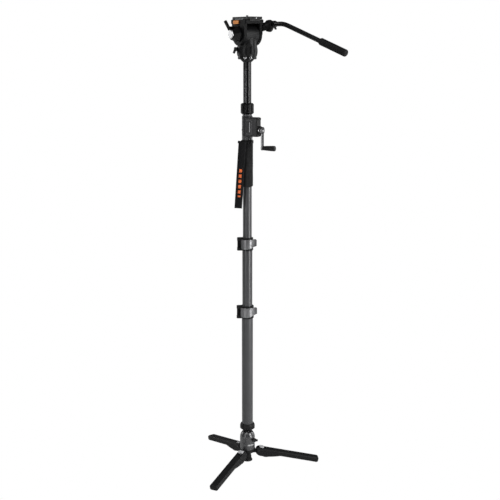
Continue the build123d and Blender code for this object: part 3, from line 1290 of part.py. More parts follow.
def pan_lock_lever():
    """Pan lock: screw into the barrel with a short arm."""
    start = PAN_BODY_R + GAP
    screw = rod_x(PAN_LOCK_SCREW_R, PAN_SPINDLE_R + GAP, start)
    hub = rod_x(PAN_LOCK_HUB_R, start, start + PAN_LOCK_HUB_LENGTH)
    middle = start + PAN_LOCK_HUB_LENGTH - PAN_LOCK_ARM_THICK / 2
    arm = block(
        -PAN_LOCK_ARM_THICK / 2,
        PAN_LOCK_ARM_THICK / 2,
        -PAN_LOCK_ARM_WIDTH / 2,
        PAN_LOCK_ARM_WIDTH / 2,
        -PAN_LOCK_ARM_LENGTH * PAN_LOCK_LONG_SHARE,
        PAN_LOCK_ARM_LENGTH * (1 - PAN_LOCK_LONG_SHARE),
    )
    arm = fillet(arm.edges().filter_by(Axis.X), PAN_LOCK_ARM_WIDTH * WING_ROUND_SHARE)
    arm = chamfer(arm.faces().sort_by(Axis.X)[-1].edges(), PAN_LOCK_ARM_THICK / 5)
    arm = Pos(middle, 0, 0) * Rot(0, -PAN_LOCK_FLARE, 0) * arm
    place = Rot(0, 0, PAN_LOCK_AZIMUTH) * Pos(0, 0, PAN_LOCK_Z) * Rot(PAN_LOCK_TURN, 0, 0)
    return head_place() * place * (screw + hub + arm)


def cheek_inner():
    return DRUM_HALF + GAP


def cheek_outer():
    return DRUM_HALF + GAP + CHEEK_WALL


def cheek(side):
    """Round-bottomed side of the tilt frame."""
    inner = side * cheek_inner()
    outer = side * cheek_outer()
    low = min(inner, outer)
    high = max(inner, outer)
    plate = rod_x(CHEEK_R, low, high, z=TILT_Z)
    rims = plate.edges().filter_by(GeomType.CIRCLE).sort_by(Axis.X)
    plate = chamfer(rims[-1] if side > 0 else rims[0], CHEEK_CHAMFER)
    plate += block(low, high, -CHEEK_R, CHEEK_R, TILT_Z, PLATFORM_LOW_Z + CUT)
    return plate


def tilt_frame():
    """Tilting frame: platform with the plate's channel, two cheeks and the handle's lug."""
    half = cheek_outer()
    platform = block(
        -half, half, -PLATFORM_HALF_LENGTH, PLATFORM_HALF_LENGTH, PLATFORM_LOW_Z, PLATFORM_HIGH_Z
    )
    platform = fillet(platform.edges().filter_by(Axis.Z), PLATFORM_CORNER)
    platform = chamfer(platform.faces().sort_by(Axis.Z)[-1].edges(), PLATFORM_CHAMFER)
    frame = platform + cheek(-1) + cheek(1)
    rise = TILT_Z + ROSETTE_RISE
    lug_root = Plane(origin=(-half + CUT, LUG_ROOT_Y, TILT_Z + LUG_ROOT_RISE), x_dir=(0, 1, 0), z_dir=(-1, 0, 0))
    lug_tip = Plane(origin=(-ROSETTE_START, ROSETTE_Y, rise), x_dir=(0, 1, 0), z_dir=(-1, 0, 0))
    frame += loft([lug_root * Circle(LUG_ROOT_R), lug_tip * Circle(LUG_TIP_R)])
    ring = rod_x(ROSETTE_R, -ROSETTE_START - ROSETTE_WALL, -ROSETTE_START, y=ROSETTE_Y, z=rise)
    frame += chamfer(ring.edges().filter_by(GeomType.CIRCLE), ROSETTE_CHAMFER)
    channel = extrude(
        Plane.XZ * make_face(Polyline(
            (-CHANNEL_HALF, CHANNEL_FLOOR_Z),
            (CHANNEL_HALF, CHANNEL_FLOOR_Z),
            (CHANNEL_HALF - CHANNEL_UNDERCUT, PLATFORM_HIGH_Z + CUT),
            (-CHANNEL_HALF + CHANNEL_UNDERCUT, PLATFORM_HIGH_Z + CUT),
            close=True,
        )),
        PLATFORM_HALF_LENGTH + CUT,
        both=True,
    )
    frame -= channel
    frame -= rod_x(TILT_AXLE_R + SEAT, -half - CUT, half + CUT, z=TILT_Z)
    frame -= block(
        half - BUTTON_DEPTH - BUTTON_TRAVEL - GAP,
        half + CUT,
        BUTTON_FRONT_Y - GAP,
        BUTTON_REAR_Y + GAP,
        BUTTON_LOW_Z - GAP,
        BUTTON_HIGH_Z + GAP,
    )
    frame -= rod_x(
        HANDLE_BOLT_R + RUN, -ROSETTE_START - ROSETTE_WALL - CUT, -HANDLE_BOLT_END, y=ROSETTE_Y, z=rise
    )
    knob_z = (PLATFORM_LOW_Z + PLATFORM_HIGH_Z) / 2
    frame -= rod_x(
        PLATE_KNOB_STEM_R + RUN, -half - CUT, -CHANNEL_HALF + CUT, y=PLATE_KNOB_Y, z=knob_z
    )
    return head_place() * frame


def tilt_axle():
    """Axle through the drum, with its cap on the far cheek."""
    end = cheek_outer()
    axle = rod_x(TILT_AXLE_R, -end, end + DRAG_DISC_HEIGHT, z=TILT_Z)
    cap = rod_x(TILT_CAP_R, -end - TILT_CAP_HEIGHT, -end, z=TILT_Z)
    cap = chamfer(cap.edges().filter_by(GeomType.CIRCLE).sort_by(Axis.X)[0], TILT_CAP_HEIGHT / 2)
    return head_place() * (axle + cap)


def drag_knob():
    """Six-sided tapered drag knob on a round disc."""
    start = cheek_outer() + GAP
    base = rod_x(DRAG_DISC_R, start, start + DRAG_DISC_HEIGHT, z=TILT_Z)
    near = Plane(origin=(start + DRAG_DISC_HEIGHT, 0, TILT_Z), x_dir=(0, 1, 0), z_dir=(1, 0, 0))
    far = Plane(origin=(start + DRAG_DISC_HEIGHT + DRAG_LENGTH, 0, TILT_Z), x_dir=(0, 1, 0), z_dir=(1, 0, 0))
    cone = loft([
        near * Rot(0, 0, DRAG_TURN) * RegularPolygon(DRAG_WIDE_R, DRAG_SIDES),
        far * Rot(0, 0, DRAG_TURN) * RegularPolygon(DRAG_NARROW_R, DRAG_SIDES),
    ])
    cone = fillet(
        [edge for edge in cone.edges() if abs(edge.tangent_at(1 / 2).X) > 1 / 2], DRAG_EDGE
    )
    cone = chamfer(cone.faces().sort_by(Axis.X)[-1].edges(), DRAG_EDGE / 2)
    knob = base + cone
    knob -= rod_x(TILT_AXLE_R + RUN, start - CUT, start + DRAG_DISC_HEIGHT + GAP, z=TILT_Z)
    return head_place() * knob


def drag_cap():
    """Bright disc on the drag knob's end."""
    start = cheek_outer() + GAP + DRAG_DISC_HEIGHT + DRAG_LENGTH
    cap = rod_x(DRAG_CAP_R, start, start + DRAG_CAP_HEIGHT, z=TILT_Z)
    cap = chamfer(cap.edges().filter_by(GeomType.CIRCLE).sort_by(Axis.X)[-1], DRAG_CAP_HEIGHT / 4)
    return head_place() * cap


def tilt_lock_lever():
    """Tilt lock: hub on the cheek with a bar that leans forward and outward."""
    start = cheek_outer() + GAP
    z = TILT_Z + TILT_LOCK_RISE
    hub = rod_x(TILT_LOCK_HUB_R, start, start + TILT_LOCK_HUB_LENGTH, y=TILT_LOCK_Y, z=z)
    bar = Cylinder(TILT_LOCK_BAR_R, TILT_LOCK_BAR_LENGTH, align=UP)
    bar = fillet(bar.edges().filter_by(GeomType.CIRCLE), TILT_LOCK_BAR_R / 4)
    place = Pos(start + TILT_LOCK_HUB_LENGTH, TILT_LOCK_Y, z - TILT_LOCK_BAR_R)
    return head_place() * (hub + place * Rot(TILT_LOCK_FORWARD, TILT_LOCK_LEAN, 0) * bar)


def release_button():
    """Push button that frees the plate."""
    half = cheek_outer()
    button = block(
        half - BUTTON_DEPTH, half + BUTTON_PROUD, BUTTON_FRONT_Y, BUTTON_REAR_Y, BUTTON_LOW_Z, BUTTON_HIGH_Z
    )
    button = fillet(button.edges().filter_by(Axis.X), BUTTON_ROUND)
    button = chamfer(button.faces().sort_by(Axis.X)[-1].edges(), BUTTON_ROUND / 2)
    return head_place() * button


def quick_plate():
    """Quick release plate: dovetail foot, slotted deck and a pocket for the screw's head."""
    deck = block(
        -PLATE_HALF_WIDTH, PLATE_HALF_WIDTH, -PLATE_HALF_LENGTH, PLATE_HALF_LENGTH, PLATE_LOW_Z, PLATE_HIGH_Z
    )
    deck = fillet(deck.edges().filter_by(Axis.Z), PLATE_CORNER)
    deck = chamfer(deck.faces().sort_by(Axis.Z)[-1].edges(), PLATE_EDGE)
    low = CHANNEL_FLOOR_Z + GAP
    foot = extrude(
        Plane.XZ * make_face(Polyline(
            (-CHANNEL_HALF + GAP, low),
            (CHANNEL_HALF - GAP, low),
            (CHANNEL_HALF - CHANNEL_UNDERCUT - GAP, PLATE_LOW_Z),
            (CHANNEL_HALF - CHANNEL_UNDERCUT - GAP, PLATE_LOW_Z + CUT),
            (-CHANNEL_HALF + CHANNEL_UNDERCUT + GAP, PLATE_LOW_Z + CUT),
            (-CHANNEL_HALF + CHANNEL_UNDERCUT + GAP, PLATE_LOW_Z),
            close=True,
        )),
        PLATE_HALF_LENGTH - PLATE_CORNER,
        both=True,
    )
    plate = deck + foot
    slot = block(
        -PLATE_SLOT_HALF_WIDTH,
        PLATE_SLOT_HALF_WIDTH,
        -PLATE_SLOT_HALF_LENGTH,
        PLATE_SLOT_HALF_LENGTH,
        low - CUT,
        PLATE_HIGH_Z + CUT,
    )
    plate -= fillet(slot.edges().filter_by(Axis.Z), PLATE_SLOT_HALF_WIDTH * SLOT_ROUND_SHARE)
    reach = PLATE_SLOT_HALF_LENGTH + PLATE_POCKET_HALF - PLATE_SLOT_HALF_WIDTH
    pocket = block(-PLATE_POCKET_HALF, PLATE_POCKET_HALF, -reach, reach, low - CUT, low + PLATE_POCKET_DEPTH)
    plate -= fillet(pocket.edges().filter_by(Axis.Z), PLATE_POCKET_HALF * SLOT_ROUND_SHARE)
    for step in range(PLATE_GROOVES):
        for side in (-1, 1):
            share = (step + 1) / (PLATE_GROOVES + 1)
            x = side * (PLATE_SLOT_HALF_WIDTH + (PLATE_HALF_WIDTH - PLATE_SLOT_HALF_WIDTH) * share)
            plate -= block(
                x - PLATE_GROOVE_HALF,
                x + PLATE_GROOVE_HALF,
                -PLATE_HALF_LENGTH + PLATE_CORNER * 2,
                PLATE_HALF_LENGTH - PLATE_CORNER * 2,
                PLATE_HIGH_Z - PLATE_GROOVE_DEPTH,
                PLATE_HIGH_Z + CUT,
            )
    return head_place() * plate


def camera_screw():
    """Camera screw: slotted head in the plate's pocket, shank standing out of the deck."""
    pocket_top = CHANNEL_FLOOR_Z + GAP + PLATE_POCKET_DEPTH
    head = rod(CAMERA_SCREW_HEAD_R, pocket_top - GAP - CAMERA_SCREW_HEAD, pocket_top - GAP)
    shoulder_top = PLATE_HIGH_Z + GAP
    shoulder = rod(CAMERA_SHOULDER_R, pocket_top - GAP, shoulder_top)
    shank = rod(CAMERA_SCREW_R, shoulder_top, PLATE_HIGH_Z + CAMERA_SCREW_PROUD)
    shank = chamfer(shank.edges().filter_by(GeomType.CIRCLE).sort_by(Axis.Z)[-1], CAMERA_SCREW_R / 6)
    driver = block(
        -CAMERA_SCREW_HEAD_R,
        CAMERA_SCREW_HEAD_R,
        -PLATE_GROOVE_HALF,
        PLATE_GROOVE_HALF,
        pocket_top - GAP - CAMERA_SCREW_HEAD - CUT,
        pocket_top - GAP - CAMERA_SCREW_HEAD / 2,
    )
    return head_place() * (head + shoulder + shank - driver)


def plate_lock_knob():
    """Knob on the platform's far side that clamps the plate in its channel."""
    half = cheek_outer()
    z = (PLATFORM_LOW_Z + PLATFORM_HIGH_Z) / 2
    start = -half - GAP
    knob = rod_x(PLATE_KNOB_R, start - PLATE_KNOB_LENGTH, start)
    knob = chamfer(knob.edges().filter_by(GeomType.CIRCLE), PLATE_KNOB_LOBE_R / 2)
    for lobe in range(PLATE_KNOB_LOBES):
        turn = Rot(360 * lobe / PLATE_KNOB_LOBES, 0, 0)
        knob -= turn * rod_x(
            PLATE_KNOB_LOBE_R,
            start - PLATE_KNOB_LENGTH - CUT,
            start + CUT,
            y=PLATE_KNOB_R + PLATE_KNOB_LOBE_R * FLUTE_OUT_SHARE,
        )
    stem = rod_x(PLATE_KNOB_STEM_R, start, -CHANNEL_HALF - CHANNEL_UNDERCUT)
    return head_place() * Pos(0, PLATE_KNOB_Y, z) * (knob + stem)


def rosette_face():
    """Distance of the moving rosette from the head's middle plane."""
    return ROSETTE_START + ROSETTE_WALL + GAP


def bend_point():
    """Corner of the handle's rod."""
    x = -rosette_face() - CLAMP_WALL + GAP
    return Vector(x, ROSETTE_Y + ROD_STRAIGHT, TILT_Z + ROSETTE_RISE + SOCKET_RISE)


def handle_direction():
    """Direction of the handle beyond the bend."""
    splay = math.radians(HANDLE_SPLAY)
    droop = math.radians(HANDLE_DROOP)
    return Vector(
        -math.sin(splay) * math.cos(droop), math.cos(splay) * math.cos(droop), -math.sin(droop)
    )


def pan_handle():
    """Handle: clamp with its rosette, socket and bent rod."""
    rise = TILT_Z + ROSETTE_RISE
    face = rosette_face()
    clamp = rod_x(CLAMP_R, -face - CLAMP_WALL, -face, y=ROSETTE_Y, z=rise)
    clamp = chamfer(clamp.edges().filter_by(GeomType.CIRCLE), ROSETTE_CHAMFER)
    clamp += rod_x(
        CLAMP_BOSS_R, -face - CLAMP_WALL - CLAMP_BOSS_HEIGHT, -face - CLAMP_WALL, y=ROSETTE_Y, z=rise
    )
    bend = bend_point()
    socket = rod_y(SOCKET_R, ROSETTE_Y + CLAMP_BOSS_R, ROSETTE_Y + SOCKET_LENGTH, x=bend.X, z=bend.Z)
    socket = chamfer(socket.edges().filter_by(GeomType.CIRCLE).sort_by(Axis.Y)[-1], HOUSING_CHAMFER)
    socket -= rod_x(ROSETTE_R * 2, -face, 0, y=ROSETTE_Y, z=rise)
    start = Vector(bend.X, ROSETTE_Y + SOCKET_LENGTH - HOUSING_CHAMFER * 2, bend.Z)
    end = bend + handle_direction() * (HANDLE_LENGTH - HANDLE_GRIP_ROUND)
    path = FilletPolyline(start, bend, end, radius=ROD_BEND_R)
    profile = Plane(origin=start, z_dir=(0, 1, 0)) * Circle(ROD_R)
    bar = sweep(profile, path=path)
    handle = clamp + socket + bar
    handle -= rod_x(
        HANDLE_BOLT_R + RUN, -face - CLAMP_WALL - CLAMP_BOSS_HEIGHT - CUT, 0, y=ROSETTE_Y, z=rise
    )
    return head_place() * handle


def handle_grip():
    """Ribbed rubber grip on the handle's end."""
    length = GRIP_LENGTH
    wide = HANDLE_GRIP_R
    turn = HANDLE_GRIP_ROUND
    diagonal = math.sqrt(1 / 2)
    grip = turned_edges(
        Line((0, 0), (ROD_R + HANDLE_RIB_DEPTH, 0)),
        Line((ROD_R + HANDLE_RIB_DEPTH, 0), (wide, HANDLE_GRIP_LEAD)),
        Line((wide, HANDLE_GRIP_LEAD), (wide, length - turn)),
        ThreePointArc(
            (wide, length - turn),
            (wide - turn * (1 - diagonal), length - turn * (1 - diagonal)),
            (wide - turn, length),
        ),
        Line((wide - turn, length), (0, length)),
        Line((0, length), (0, 0)),
    )
    pitch = (length - turn - HANDLE_GRIP_LEAD) / (HANDLE_RIBS + 1)
    for rib in range(1, HANDLE_RIBS + 1):
        low = HANDLE_GRIP_LEAD + rib * pitch
        grip -= tube(wide + CUT, wide - HANDLE_RIB_DEPTH, low, low + HANDLE_RIB_DEPTH * 2)
    grip -= rod(ROD_R + SEAT, -CUT, length - turn + SEAT)
    origin = bend_point() + handle_direction() * (HANDLE_LENGTH - length)
    place = Plane(origin=origin, z_dir=handle_direction())
    return head_place() * (place * grip)


def handle_knob():
    """Clamp bolt of the handle with its wing knob."""
    rise = TILT_Z + ROSETTE_RISE
    near = -rosette_face() - CLAMP_WALL - CLAMP_BOSS_HEIGHT - GAP
    far = near - HANDLE_KNOB_LENGTH
    knob = rod_x(HANDLE_KNOB_R, far, near)
    wings = block(
        far,
        near - HANDLE_KNOB_LENGTH / 2,
        -HANDLE_WING_THICK / 2,
        HANDLE_WING_THICK / 2,
        -HANDLE_WING_SPAN / 2,
        HANDLE_WING_SPAN / 2,
    )
    wings = fillet(wings.edges().filter_by(Axis.X), HANDLE_WING_THICK * WING_ROUND_SHARE)
    bolt = rod_x(HANDLE_BOLT_R, near, -HANDLE_BOLT_END - GAP)
    return head_place() * Pos(0, ROSETTE_Y, rise) * (knob + Rot(HANDLE_KNOB_TURN, 0, 0) * wings + bolt)


PIECES = {
    "foot_pad": foot_pad(),
    "base_hub": base_hub(),
    "ball_housing": ball_housing(),
    "ball_seat": ball_seat(),
    "ball_liner": ball_liner(),
    "ball_stem": ball_stem(),
    "ball_lock_knob": ball_lock_knob(),
    "leg_pins": leg_pins(),
    "pan_collar": pan_collar(),
    "pan_retainer": pan_retainer(),
    "lower_tube": lower_tube(),
    "mid_tube": mid_tube(),
    "upper_tube": upper_tube(),
    "mid_guide": slide_guide(MID_TUBE_R, LOWER_TUBE_R, MID_TUBE_BOTTOM_Z),
    "upper_guide": slide_guide(UPPER_TUBE_R, MID_TUBE_R, UPPER_TUBE_BOTTOM_Z),
    "lower_lock_collar": lock_collar(LOWER_TUBE_R, MID_TUBE_R, LOWER_TUBE_TOP_Z),
    "lower_lock_lever": lock_lever(LOWER_TUBE_R, LOWER_TUBE_TOP_Z),
    "lower_lock_fasteners": lock_fasteners(LOWER_TUBE_R, LOWER_TUBE_TOP_Z),
    "upper_lock_collar": lock_collar(MID_TUBE_R, UPPER_TUBE_R, MID_TUBE_TOP_Z),
    "upper_lock_lever": lock_lever(MID_TUBE_R, MID_TUBE_TOP_Z),
    "upper_lock_fasteners": lock_fasteners(MID_TUBE_R, MID_TUBE_TOP_Z),
    "grip_sleeve": grip_sleeve(),
    "strap_band": strap_band(),
    "wrist_strap": wrist_strap(),
    "gear_housing": gear_housing(),
    "gear_cover": gear_cover(),
    "gear_cover_screws": gear_cover_screws(),
    "pinion_gear": pinion_gear(),
    "crank_shaft": crank_shaft(),
    "crank_hub": crank_hub(),
    "crank_arm": crank_arm(),
    "crank_knob": crank_knob(),
    "centre_column": centre_column(),
    "column_rack": column_rack(),
    "column_lock_collar": column_lock_collar(),
    "column_clamp_ring": column_clamp_ring(),
    "column_top": column_top(),
    "head_stud": head_stud(),
    "head_base": head_base(),
    "base_screws": base_screws(),
    "pan_body": pan_body(),
    "pan_lock_lever": pan_lock_lever(),
    "tilt_frame": tilt_frame(),
    "tilt_axle": tilt_axle(),
    "drag_knob": drag_knob(),
    "drag_cap": drag_cap(),
    "tilt_lock_lever": tilt_lock_lever(),
    "release_button": release_button(),
    "quick_plate": quick_plate(),
    "camera_screw": camera_screw(),
    "plate_lock_knob": plate_lock_knob(),
    "pan_handle": pan_handle(),
    "handle_grip": handle_grip(),
    "handle_knob": handle_knob(),
}
for number in range(LEG_COUNT):
    PIECES["leg_%d" % (number + 1)] = leg(number)
    PIECES["leg_release_tab_%d" % (number + 1)] = leg_tab(number)

for node, piece in PIECES.items():
    export_step(piece, "parts/%s.step" % node)
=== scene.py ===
import json
import math
import bpy
import bmesh
from mathutils import Matrix, Vector


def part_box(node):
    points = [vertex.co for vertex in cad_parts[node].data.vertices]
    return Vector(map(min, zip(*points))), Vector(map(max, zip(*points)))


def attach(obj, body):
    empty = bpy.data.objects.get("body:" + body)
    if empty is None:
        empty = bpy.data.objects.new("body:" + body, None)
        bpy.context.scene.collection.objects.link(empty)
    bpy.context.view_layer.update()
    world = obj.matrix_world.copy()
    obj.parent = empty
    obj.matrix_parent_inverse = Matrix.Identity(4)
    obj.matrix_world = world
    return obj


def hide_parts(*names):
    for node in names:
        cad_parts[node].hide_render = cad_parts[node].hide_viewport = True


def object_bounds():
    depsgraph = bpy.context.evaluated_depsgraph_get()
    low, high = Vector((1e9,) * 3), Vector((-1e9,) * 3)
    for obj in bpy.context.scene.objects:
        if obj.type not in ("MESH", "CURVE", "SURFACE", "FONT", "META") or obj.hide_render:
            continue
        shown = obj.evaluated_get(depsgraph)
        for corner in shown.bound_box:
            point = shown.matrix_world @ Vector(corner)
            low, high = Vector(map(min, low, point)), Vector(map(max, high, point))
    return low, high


# Lengths and heights are in metres. Yaws and azimuths are degrees about the pole.
HEAD_YAW = 211.8
CRANK_YAW = -28.0
STRAP_YAW = -3.0
EYE_AZIMUTH = -93.0

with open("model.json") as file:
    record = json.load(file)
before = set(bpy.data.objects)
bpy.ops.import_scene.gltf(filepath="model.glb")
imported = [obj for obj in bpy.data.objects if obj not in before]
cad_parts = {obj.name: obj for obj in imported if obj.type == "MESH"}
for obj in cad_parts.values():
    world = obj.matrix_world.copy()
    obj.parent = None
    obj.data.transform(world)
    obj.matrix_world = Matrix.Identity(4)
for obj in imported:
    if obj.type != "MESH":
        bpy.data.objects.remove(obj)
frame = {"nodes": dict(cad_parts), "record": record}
cad_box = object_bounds()
nodes = frame["nodes"]


class Surface:
    """Principled material with small helpers for procedural detail in object space."""

    def __init__(self, name, colour, rough, metallic=0.0, **sockets):
        self.mat = bpy.data.materials.new(name)
        self.mat.use_nodes = True
        self.tree = self.mat.node_tree
        self.bsdf = self.tree.nodes["Principled BSDF"]
        self.bsdf.inputs["Base Color"].default_value = (*colour, 1.0)
        self.bsdf.inputs["Roughness"].default_value = rough
        self.bsdf.inputs["Metallic"].default_value = metallic
        for key, value in sockets.items():
            self.bsdf.inputs[key.replace("_", " ")].default_value = value
        self.colour = colour
        self.rough = rough
        self.coords = self.node("ShaderNodeTexCoord").outputs["Object"]
        self.normal = None

    def node(self, kind, **settings):
        made = self.tree.nodes.new(kind)
        for key, value in settings.items():
            setattr(made, key, value)
        return made

    def link(self, source, target):
        self.tree.links.new(source, target)

    def maths(self, operation, *values):
        made = self.node("ShaderNodeMath", operation=operation)
        for socket, value in zip(made.inputs, values):
            if isinstance(value, (int, float)):
                socket.default_value = value
            else:
                self.link(value, socket)
        return made.outputs[0]

    def noise(self, scale, detail=3.0, rough=0.55):
        made = self.node("ShaderNodeTexNoise")
        made.inputs["Scale"].default_value = scale
        made.inputs["Detail"].default_value = detail
        made.inputs["Roughness"].default_value = rough
        self.link(self.coords, made.inputs["Vector"])
        return made.outputs["Fac"]

    def spread(self, value, low, high, start=0.3, end=0.7):
        """Runs from low, where a value is at start or before it, to high at end or past it."""
        made = self.node("ShaderNodeMapRange")
        made.inputs["From Min"].default_value = start
        made.inputs["From Max"].default_value = end
        made.inputs["To Min"].default_value = low
        made.inputs["To Max"].default_value = high
        self.link(value, made.inputs["Value"])
        return made.outputs["Result"]

    def wave(self, value, length):
        return self.maths("SINE", self.maths("MULTIPLY", value, 2 * math.pi / length))

    def arch(self, value):
        """One half wave over each whole step of a value."""
        return self.maths("SINE", self.maths("MULTIPLY", self.maths("FRACT", value), math.pi))

    def blend(self, factor, first, second):
        made = self.node("ShaderNodeMix", data_type="RGBA")
        self.link(factor, made.inputs[0])
        for socket, value in ((made.inputs[6], first), (made.inputs[7], second)):
            if isinstance(value, tuple):
                socket.default_value = (*value, 1.0)
            else:
                self.link(value, socket)
        return made.outputs[2]

    def vary_colour(self, scale=18.0, amount=0.16):
        dark = tuple(c * (1 - amount) for c in self.colour)
        light = tuple(c * (1 + amount) + 0.002 for c in self.colour)
        out = self.blend(self.spread(self.noise(scale, 4.0), 0.0, 1.0), dark, light)
        self.link(out, self.bsdf.inputs["Base Color"])

    def vary_rough(self, scale=60.0, amount=0.08):
        low = max(self.rough - amount, 0.02)
        out = self.spread(self.noise(scale, 5.0, 0.6), low, self.rough + amount)
        self.link(out, self.bsdf.inputs["Roughness"])

    def bump(self, height, strength, distance):
        """Adds relief on top of any that the surface has."""
        made = self.node("ShaderNodeBump")
        made.inputs["Strength"].default_value = strength
        made.inputs["Distance"].default_value = distance
        self.link(height, made.inputs["Height"])
        if self.normal is not None:
            self.link(self.normal, made.inputs["Normal"])
        self.normal = made.outputs["Normal"]
        self.link(self.normal, self.bsdf.inputs["Normal"])

    def parts(self, yaw=0.0):
        """X, Y and Z in a frame turned about the pole."""
        split = self.node("ShaderNodeSeparateXYZ")
        self.link(self.coords, split.inputs[0])
        x, y, z = split.outputs
        if yaw:
            c, s = math.cos(math.radians(yaw)), math.sin(math.radians(yaw))
            along = self.maths("ADD", self.maths("MULTIPLY", x, c), self.maths("MULTIPLY", y, s))
            y = self.maths("ADD", self.maths("MULTIPLY", x, -s), self.maths("MULTIPLY", y, c))
            x = along
        return x, y, z

    def angle(self):
        """Place round the pole's axis, in turns, and height."""
        x, y, z = self.parts()
        return self.maths("DIVIDE", self.maths("ARCTAN2", y, x), 2 * math.pi), z

    def within(self, value, low, high, soft=0.0002):
        """1 where a value lies between two limits, with a narrow soft edge."""
        return self.maths("MULTIPLY", self.spread(value, 0.0, 1.0, low - soft, low + soft),
                          self.spread(value, 1.0, 0.0, high - soft, high + soft))

    def both(self, first, *others):
        """Where all of several masks hold."""
        for other in others:
            first = self.maths("MULTIPLY", first, other)
        return first

    def tint(self, mask, colour, rough):
        """Lays another colour and roughness over the varied ones that the surface has."""
        target = self.bsdf.inputs["Base Color"]
        self.link(self.blend(mask, target.links[0].from_socket, colour), target)
        target = self.bsdf.inputs["Roughness"]
        made = self.node("ShaderNodeMix", data_type="FLOAT")
        self.link(mask, made.inputs[0])
        self.link(target.links[0].from_socket, made.inputs[2])
        made.inputs[3].default_value = rough
        self.link(made.outputs[0], target)


def moulded(name, colour, rough, grain=1400.0, strength=0.18, **sockets):
    made = Surface(name, colour, rough, **sockets)
    made.vary_colour()
    made.vary_rough()
    made.bump(made.noise(grain, 2.0), strength, 0.00004)
    return made


def metal(name, colour, rough):
    made = Surface(name, colour, rough, 1.0)
    made.vary_colour(30.0, 0.08)
    made.vary_rough(120.0, 0.06)
    made.bump(made.noise(2600.0, 2.0), 0.05, 0.00003)
    return made


def twill_tube(name):
    """Dark twill of carbon cloth under a satin lacquer."""
    tows_round, row, repeat, over_share = 48.0, 0.0021, 4.0, 0.45
    made = Surface(name, (0.052, 0.052, 0.055), 0.36, Coat_Weight=0.45, Coat_Roughness=0.17,
                   Specular_IOR_Level=0.5)
    turn, high = made.angle()
    tows = made.maths("MULTIPLY", turn, tows_round)
    rows = made.maths("DIVIDE", high, row)
    cell = made.maths("ADD", made.maths("FLOOR", tows), made.maths("FLOOR", rows))
    diagonal = made.maths("FRACT", made.maths("DIVIDE", cell, repeat))
    over = made.maths("GREATER_THAN", diagonal, over_share)
    under = made.maths("SUBTRACT", 1.0, over)
    relief = made.maths("ADD", made.maths("MULTIPLY", over, made.arch(tows)),
                        made.maths("MULTIPLY", under, made.arch(rows)))
    shade = made.blend(over, (0.054, 0.055, 0.058), (0.072, 0.073, 0.077))
    streak = made.spread(made.noise(7.0, 4.0), 0.86, 1.12)
    out = made.node("ShaderNodeVectorMath", operation="SCALE")
    made.link(shade, out.inputs[0])
    made.link(streak, out.inputs["Scale"])
    made.link(out.outputs[0], made.bsdf.inputs["Base Color"])
    made.vary_rough(90.0, 0.05)
    made.bump(relief, 0.04, 0.00003)
    return made


def foam(name):
    """Dull black foam with fine open cells."""
    made = Surface(name, (0.017, 0.017, 0.0175), 0.92, Specular_IOR_Level=0.25)
    made.vary_colour(55.0, 0.3)
    cells = made.node("ShaderNodeTexVoronoi")
    cells.inputs["Scale"].default_value = 1500.0
    made.link(made.coords, cells.inputs["Vector"])
    made.bump(cells.outputs["Distance"], 0.45, 0.0003)
    made.bump(made.noise(240.0, 3.0), 0.25, 0.0004)
    return made


def webbing(name):
    """Woven strap: ribs across, paler edges and a plain broken stripe in the middle."""
    rib, yarn = 0.0014, 0.0011
    edge_from, stripe_half = 0.0088, 0.0042       # from the band's middle line
    stripe_from, stripe_to = 0.082, 0.170         # along the band
    block, block_share = 0.0165, 0.62
    made = Surface(name, (0.006, 0.006, 0.0065), 0.85, Specular_IOR_Level=0.2)
    uv = made.node("ShaderNodeUVMap", uv_map="weave")
    parts = made.node("ShaderNodeSeparateXYZ")
    made.link(uv.outputs[0], parts.inputs[0])
    across, along = parts.outputs[0], parts.outputs[1]
    made.bump(made.maths("MULTIPLY", made.wave(along, rib), made.wave(across, yarn)), 0.5, 0.0002)
    off = made.maths("ABSOLUTE", across)
    edge = made.maths("GREATER_THAN", off, edge_from)
    base = made.blend(edge, (0.006, 0.006, 0.0065), (0.011, 0.011, 0.012))
    place = made.maths("FRACT", made.maths("DIVIDE", along, block))
    mark = made.both(made.maths("LESS_THAN", off, stripe_half),
                     made.maths("LESS_THAN", place, block_share),
                     made.maths("GREATER_THAN", along, stripe_from),
                     made.maths("LESS_THAN", along, stripe_to),
                     made.spread(made.noise(900.0, 2.0), 0.7, 1.0))
    made.link(made.blend(mark, base, (0.95, 0.20, 0.06)), made.bsdf.inputs["Base Color"])
    return made


def gloss_column(name):
    """Smooth gloss black of the sliding column."""
    made = Surface(name, (0.004, 0.004, 0.0045), 0.15, Specular_IOR_Level=0.4, Coat_Weight=0.08,
                   Coat_Roughness=0.08)
    made.vary_rough(45.0, 0.04)
    made.vary_colour(12.0, 0.2)
    made.bump(made.noise(900.0, 2.0), 0.015, 0.00001)
    return made


